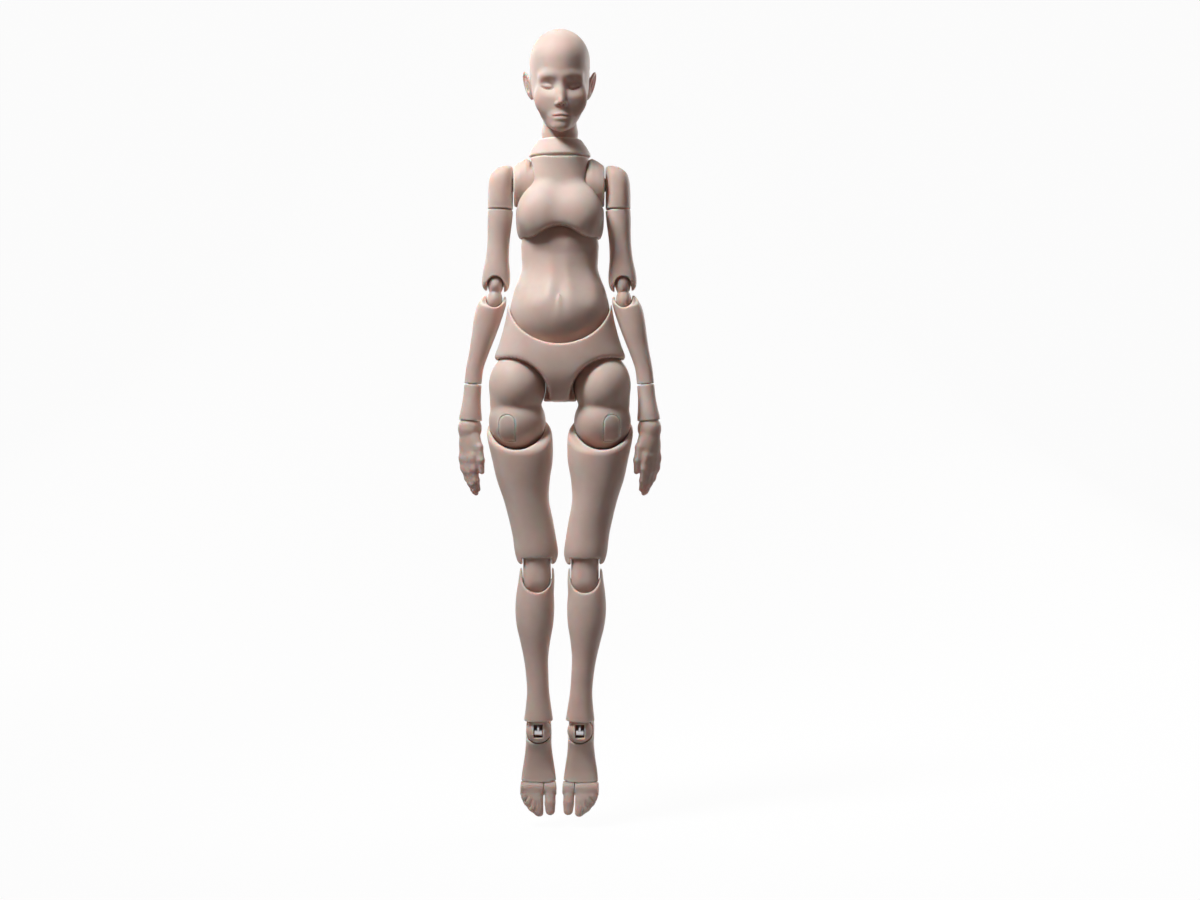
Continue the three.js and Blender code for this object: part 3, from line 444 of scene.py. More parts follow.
def chest():
    block = Block((-17, -18.8, -0.5), (17, 15, 33.2), 0.357)
    shell = block.loft(
        [[0, 0.93, 0.9, 0, -0.09], [0.15, 1, 0.96, 0, -0.07], [0.41, 1, 1, 0, -0.08],
         [0.56, 0.92, 0.98, 0, -0.08], [0.69, 0.78, 0.94, 0, -0.08], [0.86, 0.72, 0.9, 0, -0.06],
         [1.01, 0.69, 0.9, 0, -0.05]],
        CHEST_HEIGHT, CHEST_WIDE, CHEST_DEEP, power=2.2, top=CHEST_FLOOR)
    for side in (-1, 1):
        swell = block.egg((side * 6.8, -8.8, 10.4), (8.3, 6.4, 9.2))
        shell = shell.join(swell, soft=5)
    front_arch = block.pipe((0, -PAST, -ARCH_DROP), (0, -0.3 * CHEST_DEEP, -ARCH_DROP), ARCH)
    under = front_arch.join(block.beyond((0, 0, CHEST_FLOOR), (0, 0, -1)), soft=3.4)
    shell = shell.cut(under, soft=1.6)
    shell = shell.cut(block.egg((0, 0, 0), (RIB_WIDE + GAP, RIB_ROUND + GAP, RIB_ROUND + GAP)),
                      soft=0.6)
    shell = shell.cut(
        block.ball((0, 0, COLLAR_HEIGHT - CHEST_BEND), COLLAR + 0.6 * GAP),
        block.channel(0, PAST), soft=0.35)
    for side, stance in ((-1, STANCE["right"]), (1, STANCE["left"])):
        at = (side * (YOKE_SPREAD + stance["reach"]), 0, YOKE_HEIGHT - CHEST_BEND)
        recess = block.ball(at, YOKE + GAP)
        for turn in (-YOKE_TURN, 0, YOKE_TURN):
            recess = recess.join(yoke_slab(block, at, side, turn, GAP))
        shell = shell.cut(recess, soft=0.7)
    return block, shell


def yoke_slab(block, at, side, turn, extra):
    """The sloping outer part of the yoke, seen from the yoke's own pivot"""
    across, depth, z = block.seen_from(at, turn=turn)
    across = side * across
    start = YOKE_INNER + extra
    share = np.clip((across + start) / (YOKE_FACE + YOKE_INNER + 3 * extra), 0, 1)
    knots = [0, 0.25, 0.6, 1]
    tall = (YOKE_RISE + extra) * np.interp(share, knots, [0.9, 0.99, 0.92, 0.8])
    deep = (YOKE + extra) * np.interp(share, knots, [0.86, 0.96, 1, 0.96])
    lift = (YOKE_RISE + extra) * np.interp(share, knots, [0.08, 0.06, 0.01, -0.06])
    spot = np.sqrt(((z - lift) / tall) ** 2 + (depth / deep) ** 2)
    around = off_outline(spot, z - lift, depth)
    ends = np.maximum(-across - start, across - YOKE_FACE - 2 * extra)
    return Form(-soft_least(-around, -ends, 0.8).astype(np.float32))


def belly():
    block = Block((-19.4, -17.4, -17), (19.4, 17.4, 36.5), 0.381)
    rise = CHEST_BEND - WAIST_HEIGHT
    waist = block.loft(
        [[0, 0.995, 0.99], [0.17, 0.965, 0.965], [0.33, 0.912, 0.87], [0.48, 0.832, 0.76],
         [0.65, 0.7665, 0.69], [0.85, 0.775, 0.67], [1, 0.775, 0.69]],
        rise, BELLY_WIDE, BELLY_ROUND, edge=0.4)
    form = waist.join(block.egg((0, 0, 0), (BELLY_WIDE, BELLY_ROUND, BELLY_ROUND)),
                      block.egg((0, 0, rise), (RIB_WIDE, RIB_ROUND, RIB_ROUND)), soft=0.4)
    for side in (-1, 1):
        form = form.cut(block.egg((side * 9.6, -15.0, 17), (4.6, 3.6, 11)), soft=5)
    form = form.cut(block.egg((0, -14.9, 18), (1.2, 1.2, 9)), soft=4.6)
    navel = block.egg((-0.3, -15.9, 4.7), (0.5, 0.9, 0.8))
    return block, form.cut(navel, soft=0.9).plain().cut(block.channel())


def pelvis():
    block = Block((-25.6, -18, -1), (25.6, 18.6, 37.6), 0.381)
    form = block.loft(
        [[0, 0.36, 0.55, 0, -0.08], [0.12, 0.72, 0.78, 0, -0.09], [0.26, 0.94, 0.94, 0, -0.1],
         [0.42, 1, 0.97, 0, -0.08], [0.58, 0.925, 0.94, 0, -0.05], [0.72, 0.862, 0.9, 0, -0.02],
         [0.87, 0.81, 0.86], [1, 0.785, 0.84, 0, 0.02]],
        PELVIS_HEIGHT, PELVIS_WIDE, PELVIS_DEEP, power=2.2)
    for side in (-1, 1):
        form = form.join(block.egg((side * 9.7, 9.3, 13.4), (9.7, 7.5, 11.2)), soft=3)
    form = form.keep(block.beyond((0, 0, 0), (0, 0, 1)), soft=0.6)
    form = form.cut(trough(block), soft=1.0)
    form = form.cut(
        block.egg((0, WAIST_BACK, WAIST_HEIGHT),
                  (BELLY_WIDE + GAP, BELLY_ROUND + GAP, BELLY_ROUND + GAP)),
        block.channel(HIP_HEIGHT, PAST),
        block.pipe((-HIP_SPREAD, 0, HIP_HEIGHT), (HIP_SPREAD, 0, HIP_HEIGHT), CHANNEL), soft=0.6)
    for side in (-1, 1):
        x = side * (SADDLE_WIDE + LEG_ARCH)
        corner = [(side * 1.06 * PELVIS_WIDE, y, 0.6 * LEG_ARCH) for y in (-PAST, PAST)]
        opening = block.pipe((x, -PAST, GAP), (x, -0.2 * PELVIS_DEEP, GAP), LEG_ARCH).join(
            block.pipe((x, 0.26 * PELVIS_DEEP, GAP), (x, PAST, GAP), LEG_ARCH),
            block.pipe(*corner, 0.42 * LEG_ARCH), soft=1.5)
        form = form.cut(opening, soft=1.7)
        form = form.cut(block.egg((side * HIP_SPREAD, 0, HIP_HEIGHT),
                                  (HIP + GAP, HIP_DEEP + GAP, HIP_DEEP + GAP)), soft=0.8)
    return block, form


def trough(block):
    """The rounded dip in the pelvis's upper rim, deep in front and shallower behind"""
    x, y, z = block.seen_from((0, 0, RIM_HEIGHT))
    drop = RIM_DROP * np.interp(y, [-4, 4], [1, 0.65]).astype(np.float32)
    return oval((x, z), (RIM_WIDE, drop))


# Arm, for the figure's right side

def yoke():
    block = Block((-7.8, -8.2, -10.6), (8, 8.2, 10.6), 0.238)
    return block, (
        block.ball((0, 0, 0), YOKE).join(yoke_slab(block, (0, 0, 0), -1, 0, 0), soft=0.5)
        .cut(block.beyond((-YOKE_FACE, 0, 0), (-1, 0, 0)), soft=0.4)
        .join(block.pipe((1 - YOKE_FACE, 0, 0), (-YOKE_FACE - BOSS_LENGTH, 0, 0), BOSS), soft=0.2)
        .cut(block.pipe((-PAST, 0, 0), (0, 0, 0), CHANNEL), soft=0.4))


def shoulder():
    block = Block((-10.6, -7.2, -9.8), (0.6, 7.2, 8), 0.238)
    inner = -GAP - SHOULDER_WIDE
    shell = block.loft(
        [[0, 0.3, 0.3, 0.55], [0.05, 0.6, 0.62, 0.38], [0.17, 0.86, 0.86, 0.16],
         [0.38, 0.97, 0.99, 0.04], [0.7, 1, 0.98], [1, 1, 0.9]],
        -SHOULDER_RISE - SHOULDER_DROP, SHOULDER_WIDE, SHOULDER_DEEP, power=2.4,
        top=SHOULDER_RISE, edge=0.4, middle=inner)
    # The painted highlight is kept only on the lower end
    shell.rim = shell.rim * (block.z < 0)
    shell = shell.keep(block.beyond((-0.6 * GAP, 0, 0), (-1, 0, 0)), soft=0.4)
    return block, shell.cut(
        block.pipe((PAST, 0, 0), (-BOSS_LENGTH - 2 * GAP, 0, 0), BOSS + GAP),
        block.pipe((inner, 0, -PAST), (inner, 0, BOSS_LENGTH + GAP - SHOULDER_DROP), BOSS + GAP),
        soft=0.3)


def lobe_edge(radius, half_width):
    return 0.85 * min(radius, half_width)


def lobe_seat(block, at, radius, half_width):
    return block.drum(at, radius + GAP, half_width + GAP, lobe_edge(radius, half_width) + GAP)


def mouth(block, at, half_width, side):
    """An opening towards the front, round at one end, that shows the lobe behind it"""
    x, y, z = at
    return (block.pipe((x, y - PAST, z), at, half_width)
            .join(block.box((x, y - HALF, z + side * HALF), (half_width, HALF, HALF))))


def elbow_room(block, z, side, lip, face, drop, slant):
    """The elbow's seat in the end of an arm piece at height z, its way out to the front, and
    the slanted face that lets it bend. side is 1 at an upper end and -1 at a lower one."""
    at, slant = (0, 0, z), math.radians(slant)
    return (
        lobe_seat(block, at, ELBOW, ELBOW_WIDE).join(mouth(block, at, ELBOW_WIDE + GAP, side)),
        block.box((0, 0, z + side * (lip * ELBOW + HALF)), (ELBOW_WIDE + GAP, HALF, HALF)),
        block.beyond((0, -face, z - side * drop * ELBOW),
                     (0, -math.sin(slant), side * math.cos(slant))))


def upper_arm():
    block = Block((-6.2, -6.4, -31.6), (6.2, 6.4, 2.4), 0.25)
    shell = block.loft(
        [[0, 0.9, 1.02], [0.15, 0.88, 1], [0.42, 0.8, 0.86], [0.65, 0.84, 0.84],
         [0.85, 0.99, 0.9], [0.98, 1, 0.92], [1.06, 0.86, 0.84], [1.1, 0.55, 0.6]],
        -UPPER_ARM, UPPER_WIDE, UPPER_WIDE, power=2.2, edge=0.5)
    return block, (
        shell.join(block.pipe((0, 0, -1), (0, 0, BOSS_LENGTH), BOSS), soft=0.2)
        .cut(*elbow_room(block, -UPPER_ARM, -1, 0.12, UPPER_WIDE, 0.4, 38), soft=0.6)
        .cut(block.channel(), soft=0.3))


def lobe_block(radius, half_width, pitch):
    return Block((-half_width - 1, -radius - 1, -pitch - radius - 1),
                 (half_width + 1, radius + 1, radius + 1), 0.202)


def elbow():
    block = lobe_block(ELBOW, ELBOW_WIDE, ELBOW_PITCH)
    radii = (1.04 * ELBOW_WIDE, ELBOW, ELBOW)
    web = block.box((0, 0, -ELBOW_PITCH / 2),
                    (0.62 * ELBOW_WIDE, 0.72 * ELBOW, ELBOW_PITCH / 2), 0.6)
    return block, (
        block.egg((0, 0, 0), radii).join(block.egg((0, 0, -ELBOW_PITCH), radii), web, soft=0.35)
        .cut(block.channel(), soft=0.5))


def knee():
    """Two lobes on parallel hinges, with a web and a rounded cap between them"""
    block = lobe_block(KNEE, KNEE_WIDE, KNEE_PITCH)
    edge, front = lobe_edge(KNEE, KNEE_WIDE), 0.4 * KNEE
    web = block.box((0, 0, -KNEE_PITCH / 2), (KNEE_WIDE, 0.42 * KNEE, KNEE_PITCH / 2), 1.0)
    cap = block.egg((0, -front, -KNEE_PITCH / 2),
                    (0.92 * KNEE_WIDE, 0.97 * KNEE - front, 0.58 * KNEE_PITCH))
    return block, (
        block.drum((0, 0, 0), KNEE, KNEE_WIDE, edge)
        .join(block.drum((0, 0, -KNEE_PITCH), KNEE, KNEE_WIDE, edge), web, soft=0.6)
        .join(cap, soft=1.4)
        .cut(block.channel(), soft=0.5))


def forearm():
    block = Block((-10.6, -6.2, -32.2), (6, 6.2, 2.8), 0.25)
    end = (FOREARM_ASIDE, 0, -FOREARM)
    shell = block.loft(
        [[-0.05, 0.82, 0.8], [0.03, 0.98, 0.96, -0.12], [0.11, 1.04, 1.04, -0.27],
         [0.25, 1, 1, -0.45], [0.42, 0.88, 0.9, -0.64], [0.61, 0.74, 0.76, -0.88],
         [0.81, 0.64, 0.66, -1.13], [1, 0.63, 0.62, -1.2]],
        -FOREARM, FOREARM_WIDE, FOREARM_WIDE, power=2.2, edge=0.35)
    return block, (
        shell.cut(*elbow_room(block, 0, 1, 0.07, FOREARM_WIDE, 0.6, 35), soft=0.6)
        .cut(block.pipe((0, 0, 0), (0.6 * FOREARM_ASIDE, 0, -0.5 * FOREARM), CHANNEL),
             block.pipe(end, (FOREARM_ASIDE, 0, BOSS_LENGTH + GAP - FOREARM), 0.7 * BOSS + GAP),
             soft=0.3))


def wrist_sleeve():
    block = Block((-5.4, -5.4, -16), (5.4, 5.4, 2.4), 0.226)
    shell = block.loft(
        [[0, 0.76, 0.78], [0.3, 0.78, 0.84], [0.55, 0.88, 0.98], [0.72, 0.98, 1.04],
         [0.82, 1, 1.06]],
        -SLEEVE, SLEEVE_WIDE, SLEEVE_DEEP, top=-GAP, edge=0.35)
    return block, (
        shell.join(block.pipe((0, 0, -1), (0, 0, BOSS_LENGTH), 0.7 * BOSS), soft=0.2)
        .cut(block.ball((0, 0, -SLEEVE), WRIST + GAP),
             block.pipe((0, 0, -SLEEVE), (0, 0, -0.35 * SLEEVE), 2 * WIRE), soft=0.35))


def hand():
    block = Block((-6.8, -5.4, -26.2), (9.2, 7.6, 5.4), 0.202)
    palm = block.loft(
        [[0.03, 0.68, 1.36], [0.12, 0.69, 1.27], [0.24, 0.79, 1.16], [0.36, 0.82, 0.96],
         [0.47, 0.82, 0.8], [0.58, 0.78, 0.58], [0.66, 0.68, 0.4]],
        -HAND, HAND_WIDE, HAND_DEEP, power=2.2, edge=1.0)
    form = block.ball((0, 0, 0), WRIST).join(palm, soft=0.9)
    for i, share in enumerate((0.9, 0.98, 1, 0.94)):
        aside = (i - 1.5) * 0.42 * HAND_WIDE
        joints = [(0.9, 0, 0.44, 1.1), (0.88, 0.1, 0.66, 1.05), (0.72, 0.6, 0.84, 0.92),
                  (0.5, 1.2, 0.98, 0.7)]
        digit = block.chain([
            (a * aside, b * HAND_DEEP, -c * HAND * (share if c > 0.5 else 1), r * FINGER)
            for a, b, c, r in joints], soft=0.8)
        knuckle = block.egg((0.87 * aside, -0.38 * HAND_DEEP, -0.45 * HAND), (1.0, 0.9, 1.7))
        form = form.join(digit, soft=0.9).join(knuckle, soft=1.2)
        nail = block.egg((0.53 * aside, 0.98 * HAND_DEEP - 0.72, -0.955 * share * HAND),
                         (0.5, 0.3, 0.85), pitch=38)
        form = form.join(nail, soft=0.08)
    thumb = block.chain([
        (0.5 * HAND_WIDE, 0.1 * HAND_DEEP, -0.16 * HAND, 1.9),
        (0.82 * HAND_WIDE, 0.3 * HAND_DEEP, -0.3 * HAND, 1.5),
        (0.98 * HAND_WIDE, 0.5 * HAND_DEEP, -0.3 * HAND - 0.36 * THUMB, 1.2),
        (0.91 * HAND_WIDE, 0.8 * HAND_DEEP, -0.3 * HAND - 0.68 * THUMB, 0.92)], soft=0.8)
    form = form.join(thumb, soft=1.2)
    slot = block.box((0, 0, 0.38 * WRIST), (WIRE + GAP, 0.62 * WRIST, 0.5 * WRIST), 0.2)
    return block, form.cut(slot, soft=0.4)


# Leg, for the figure's right side

def hip():
    block = Block((-12.6, -13.2, -24.3), (11.4, 13.2, 13.2), 0.321)
    web = block.loft([[0, 0.84, 0.88], [0.5, 0.8, 0.86], [1, 0.84, 0.88]], -HIP_PITCH, HIP, HIP,
                     edge=0.3)
    outer = block.egg((-0.36 * HIP, 0, -0.5 * HIP_PITCH),
                      (0.6 * HIP, 0.75 * HIP, 0.68 * HIP_PITCH))
    lower = block.ball((0, 0, -HIP_PITCH), HIP)
    upper = block.egg((0, 0, 0), (HIP, HIP_DEEP, HIP_DEEP))
    form = upper.join(web, outer, soft=1.2).join(lower, soft=0.8)
    return block, (form.cut(plug_block(block, 0), soft=0.12)
                   .cut(block.channel(), soft=0.5))


def plug_block(block, inset):
    """An arch-topped block let into the front of the hip's lower lobe"""
    half = PLUG_WIDE - inset
    bottom = HIP_PITCH + PLUG_HEIGHT - PLUG_TOP - inset
    top = PLUG_TOP - PLUG_WIDE - HIP_PITCH
    floor = PLUG_DEPTH - HIP - inset
    arch = block.pipe((PLUG_ASIDE, -PAST, top), (PLUG_ASIDE, floor, top), half)
    foot = block.box((PLUG_ASIDE, floor - HALF, (top - bottom) / 2),
                     (half, HALF, (top + bottom) / 2))
    return arch.join(foot)


def slot_plug():
    block = Block((-7.4, -11.2, -22), (0.6, -4, -9.6), 0.178)
    return block, plug_block(block, PLUG_FIT).keep(block.ball((0, 0, -HIP_PITCH), HIP), soft=0.12)


def thigh():
    block = Block((-13.2, -14, -53.6), (15, 14, 8.2), 0.393)
    shell = block.loft(
        [[-0.14, 0.95, 0.93, -0.02], [0, 1, 0.94, 0.02], [0.14, 1, 0.96, 0.09],
         [0.29, 0.93, 0.92, 0.16], [0.43, 0.82, 0.84, 0.185], [0.58, 0.7, 0.74, 0.277],
         [0.73, 0.675, 0.66, 0.42], [0.85, 0.665, 0.62, 0.52], [0.97, 0.665, 0.6, 0.59],
         [1.06, 0.58, 0.52, 0.61]],
        -THIGH, THIGH_WIDE, THIGH_DEEP, power=2.1, edge=1.0)
    top, back = math.radians(34), math.radians(38)
    knee = (KNEE_ASIDE, 0, -THIGH)
    slope = block.beyond((0, 0, -0.33 * HIP), (0, -math.sin(top), math.cos(top)))
    return block, (
        shell.cut(slope, soft=1.6).plain()
        .cut(block.ball((0, 0, 0), HIP + 0.6 * GAP)
             .join(block.pipe((0, -PAST, 0), (0, 0, 0), HIP + 0.6 * GAP)), soft=0.5)
        .cut(lobe_seat(block, knee, KNEE, KNEE_WIDE)
             .join(block.box((KNEE_ASIDE, 0, -THIGH - 0.1 * KNEE - HALF),
                             (KNEE_WIDE + GAP, PAST, HALF)), soft=0.4),
             block.beyond((0, KNEE, 0.57 * KNEE - THIGH), (0, math.sin(back), -math.cos(back))),
             soft=0.6)
        .cut(block.channel(-0.5 * HIP, -0.2 * THIGH - HIP), soft=0.4))


def shin():
    block = Block((-8.8, -8.8, -53.6), (8.8, 9.8, 5), 0.345)
    shell = block.loft(
        [[-0.086, 0.86, 0.8], [0, 0.92, 0.85, -0.03], [0.09, 0.96, 0.92, -0.1, -0.03],
         [0.19, 1, 1, -0.12, -0.08], [0.3, 0.94, 0.99, -0.12, -0.1],
         [0.41, 0.77, 0.86, -0.1, -0.08],
         [0.52, 0.63, 0.7, -0.06, -0.04], [0.62, 0.58, 0.61], [0.74, 0.57, 0.58, 0.05],
         [0.85, 0.66, 0.62, 0.07], [0.935, 0.75, 0.67, 0.07]],
        -SHIN, SHIN_WIDE, SHIN_DEEP, power=2.1, edge=0.7)
    back = math.radians(38)
    return block, (
        shell.cut(lobe_seat(block, (0, 0, 0), KNEE, KNEE_WIDE)
                  .join(mouth(block, (0, 0, KNEE_WIDE - 0.7 * KNEE), KNEE_WIDE + GAP, 1)),
                  block.box((0, 0, 0.1 * KNEE + HALF), (KNEE_WIDE + GAP, PAST, HALF)),
                  block.beyond((0, 0.9 * SHIN_DEEP, -0.3 * KNEE),
                               (0, math.sin(back), math.cos(back))), soft=0.8)
        .cut(block.ball((ANKLE_ASIDE, 0, -SHIN), ANKLE + GAP),
             block.pipe((ANKLE_ASIDE, 0, -SHIN), (ANKLE_ASIDE, 0, 1.2 * ANKLE - SHIN), CHANNEL),
             soft=0.5))


def ankle_ball():
    block = Block((-5.4, -5.4, -5.4), (5.4, 5.4, 5.4), 0.19)
    slot = block.box((0, 0.35 * ANKLE - HALF, 0.04 * ANKLE), (SLOT_WIDE, HALF, 0.52 * ANKLE), 0.1)
    return block, (block.ball((0, 0, 0), ANKLE).cut(slot, soft=0.4)
                   .cut(block.pipe((0, 0, 0), (0, 0, PAST), SLOT_WIDE - 0.1), soft=0.4))


def foot():
    """Modelled standing flat: the toes point to -Y and the sole lies under it"""
    block = Block((-8, -21, -12), (8, 10.6, 6.6), 0.274)
    rows = [[-HEEL / FOOT, 0.14, 0.3, 0, -0.22], [-0.43, 0.34, 0.6, 0, -0.18],
            [-0.37, 0.52, 0.87, 0, -0.08],
            [-0.2, 0.66, 1.19, 0, 0.19], [0, 0.7, 1.33, 0, 0.33], [0.2, 0.7, 1.15, 0, 0.19],
            [0.4, 0.76, 0.83, 0, -0.08], [0.7, 0.9, 0.6, 0, -0.385], [1, 1, 0.48, 0, -0.5]]
    shell = block.loft(rows, -FOOT, FOOT_WIDE, FOOT_HIGH / 2, power=2.6, edge=0.5,
                       lying=-FOOT_HIGH / 2)
    tip = math.radians(FOOT_PITCH)
    up = (0, math.sin(tip), math.cos(tip))
    arch = block.egg((0, -6.2, -FOOT_HIGH - 0.6), (7.5, 6.4, 1.9))
    return block, (
        shell.cut(arch, soft=1.5).plain()
        .cut(block.ball((0, 0, 0), ANKLE + GAP)
             .join(block.pipe((0, 0, 0), (0, 0, PAST), ANKLE + GAP)),
             block.pipe([v * (SHIN_RIM - GAP) for v in up], [v * PAST for v in up],
                        0.75 * SHIN_WIDE + GAP), soft=0.7)
        .cut(block.pipe((-PAST, -FOOT, TOE_AXIS), (PAST, -FOOT, TOE_AXIS), TOE_ROUND + GAP),
             soft=0.4))


def toe_block(start, end):
    return Block((end - 1, -TOE - 1, -TOE_ROUND - 1),
                 (start + 1, TOE_ROUND + 1, TOE_ROUND + 1), 0.178)


def rooted(block, body, start, end):
    """Toes on the round root that lies in the foot's hinge"""
    root = block.pipe((start, 0, 0), (end, 0, 0), TOE_ROUND)
    body = (body.keep(block.beyond((start, 0, 0), (-1, 0, 0)), soft=0.5)
            .keep(block.beyond((end, 0, 0), (1, 0, 0)), soft=0.5).join(root, soft=1.0))
    return block, body.unrimmed()


def big_toe():
    start, end = FOOT_WIDE - GAP, FOOT_WIDE - GAP - BIG_TOE_WIDE
    middle = (start + end) / 2
    block = toe_block(start, end)
    body = block.chain([(middle, -0.3, 0, 2.15), (middle - 0.05, -5.5, -0.1, 2.1),
                        (middle + 0.05, -8.3, -0.45, 1.75)])
    nail = block.egg((middle, -8.9, 0.85), (1.05, 1.2, 0.35), pitch=22)
    return rooted(block, body.join(nail, soft=0.12), start, end)


def small_toes():
    """Four toes in one wedge: they show as shallow furrows that part only at the tips"""
    start = FOOT_WIDE - BIG_TOE_WIDE - 2 * GAP
    end = start - sum(SMALL_TOES)
    block = toe_block(start, end)
    outer = block.chain([(-4.9, -0.3, 0, 1.9), (-4.9, -2.8, -0.2, 1.6), (-3.9, -5.0, -0.5, 1.45),
                         (-2.2, -7.0, -0.7, 1.35), (-0.1, -8.6, -0.9, 1.25)], soft=1.0)
    middle = block.chain([(-2.4, 0, 0, 2.1), (-2.2, -3.6, -0.2, 2.0), (-1.2, -6.4, -0.6, 1.6)])
    inner = block.chain([(0.2, 0, 0, 2.0), (0.3, -4.5, -0.2, 1.75), (0.6, -8.85, -0.9, 1.15)])
    body = outer.join(middle, inner, soft=2.4)
    for root, tip in (((-0.7, -6.2), (-1.2, -9.0)), ((-2.4, -4.9), (-3.1, -7.2)),
                      ((-3.8, -3.6), (-4.9, -5.0))):
        body = body.cut(block.rod((*root, 2.2), (*tip, 0.7), 0.1, 0.2), soft=0.7)
    return rooted(block, body.plain(), start, end)


# Finishes

class Value:
    """A shader socket that can be used in sums"""

    def __init__(self, paint, socket):
        self.paint, self.socket = paint, socket

    def _sum(self, operation, *terms):
        return self.paint.add("ShaderNodeMath", dict(enumerate(terms)),
                              operation=operation)["Value"]

    def __add__(self, other):
        return self._sum("ADD", self, other)

    def __sub__(self, other):
        return self._sum("SUBTRACT", self, other)

    def __mul__(self, other):
        return self._sum("MULTIPLY", self, other)

    __radd__, __rmul__ = __add__, __mul__


class Outputs:
    def __init__(self, paint, node):
        self.paint, self.node = paint, node

    def __getitem__(self, key):
        return Value(self.paint, self.node.outputs[key])


class Nodes:
    """A node tree under construction"""

    def __init__(self, tree):
        self.tree = tree

    def add(self, kind, sockets=None, **settings):
        node = self.tree.nodes.new(kind)
        for name, value in settings.items():
            if name == "stops":
                for stop, (at, colour) in zip(node.color_ramp.elements, value):
                    stop.position, stop.color = at, (*colour, 1)
            else:
                setattr(node, name, value)
        for name, value in (sockets or {}).items():
            if isinstance(value, Value):
                self.tree.links.new(value.socket, node.inputs[name])
            else:
                node.inputs[name].default_value = value
        return Outputs(self, node)


class Paint(Nodes):
    """A material, or the world, under construction"""

    def __init__(self, owner):
        owner.use_nodes = True
        super().__init__(owner.node_tree)
        self.owner = owner
        self.tree.nodes.clear()

    def noise(self, spots, scale, detail=2, rough=0.5):
        return self.add("ShaderNodeTexNoise", {
            "Vector": spots, "Scale": scale, "Detail": detail, "Roughness": rough})["Fac"]

    def mark(self, name):
        return self.add("ShaderNodeAttribute", attribute_name=name)["Fac"]

    def mixed(self, share, a, b):
        a, b = (v if isinstance(v, Value) else (*v, 1) for v in (a, b))
        return self.add("ShaderNodeMix", {0: share, 6: a, 7: b}, data_type="RGBA")[2]

    def ground_seen(self):
        """1 for rays that meet the ground straight from the camera, off metal or through glass"""
        rays = self.add("ShaderNodeLightPath")
        return rays["Is Camera Ray"] + rays["Is Glossy Ray"] + rays["Is Transmission Ray"]

    def finish(self, shader, output="ShaderNodeOutputMaterial"):
        self.add(output, {"Surface": shader})
        return self.owner


def resin_finish():
    """Cast resin: sanded satin skin, with a pale painted highlight on thin rims, and painted
    reddish-brown shade in sockets and creases, which are also duller
    """
    paint = Paint(bpy.data.materials.new("cast_resin"))
    spots = paint.add("ShaderNodeTexCoord")["Object"]
    rim, bare = paint.mark("rim"), paint.mark("bare")
    cloud = paint.noise(spots, 90, 3)
    grain = paint.noise(spots, 1400, 4, 0.65)
    brushing = paint.noise(spots, 420, 2)
    skin = paint.add("ShaderNodeValToRGB", {"Fac": cloud}, stops=[
        (0.3, (0.66, 0.515, 0.455)), (0.7, (0.73, 0.595, 0.535))])["Color"]
    # Painted shade: sockets, cut insides and creases darkened towards reddish brown
    inside = paint.mixed(bare * 0.7, skin, (0.36, 0.17, 0.12))
    # Painted highlight: the rounded edges of cuts turned pale
    colour = paint.mixed(rim * 0.85, inside, (0.95, 0.85, 0.77))
    rough = 0.46 + cloud * 0.08 + brushing * 0.08 + bare * 0.16 - rim * 0.06
    bump = paint.add("ShaderNodeBump", {
        "Strength": 0.25, "Distance": 0.00003, "Height": grain + brushing})["Normal"]
    skin_shader = paint.add("ShaderNodeBsdfPrincipled", {
        "Base Color": colour, "Roughness": rough, "Normal": bump, "IOR": 1.45,
        "Specular IOR Level": 0.25,
        "Subsurface Weight": 0.7, "Subsurface Scale": 0.003,
        "Subsurface Radius": (1.0, 0.32, 0.2), "Coat Weight": 0.03, "Coat Roughness": 0.3})
    return paint.finish(skin_shader["BSDF"])


def steel_finish():
    """Bent steel wire, drawn and slightly dulled"""
    paint = Paint(bpy.data.materials.new("drawn_steel"))
    spots = paint.add("ShaderNodeTexCoord")["Object"]
    cloud = paint.noise(spots, 600, 3)
    scratch = paint.noise(paint.add("ShaderNodeMapping", {
        "Vector": spots, "Scale": (1, 1, 9)})["Vector"], 900, 3, 0.6)
    colour = paint.mixed(cloud, (0.46, 0.47, 0.49), (0.62, 0.62, 0.63))
    bump = paint.add("ShaderNodeBump", {
        "Strength": 0.2, "Distance": 0.00002, "Height": scratch})["Normal"]
    metal = paint.add("ShaderNodeBsdfPrincipled", {
        "Base Color": colour, "Roughness": 0.28 + scratch * 0.2, "Metallic": 1.0, "Normal": bump})
    return paint.finish(metal["BSDF"])


def studio_finish():
    """White board: it keeps soft shadows, and shows the camera a white ground"""
    paint = Paint(bpy.data.materials.new("white_board"))
    board = paint.add("ShaderNodeBsdfDiffuse", {"Color": (0.4, 0.4, 0.4, 1)})["BSDF"]
    glow = paint.add("ShaderNodeEmission", {
        "Color": (1, 1, 1, 1), "Strength": 1.07})["Emission"]
    return paint.finish(paint.add("ShaderNodeMixShader", {
        0: paint.ground_seen() * 0.9, 1: board, 2: glow})["Shader"])


def studio_air():
    """Dim warm light from all round, and white where a ray passes the board"""
    paint = Paint(bpy.data.worlds.new("studio"))
    dim = paint.add("ShaderNodeBackground", {
        "Color": (1, 0.66, 0.56, 1), "Strength": 0.06})["Background"]
    white = paint.add("ShaderNodeBackground", {
        "Color": (1, 1, 1, 1), "Strength": 0.97})["Background"]
    return paint.finish(paint.add("ShaderNodeMixShader", {
        0: paint.ground_seen(), 1: dim, 2: white})["Shader"], "ShaderNodeOutputWorld")


# Placing pieces on the figure

def shown(name, data):
    thing = bpy.data.objects.new(name, data)
    bpy.context.scene.collection.objects.link(thing)
    return thing


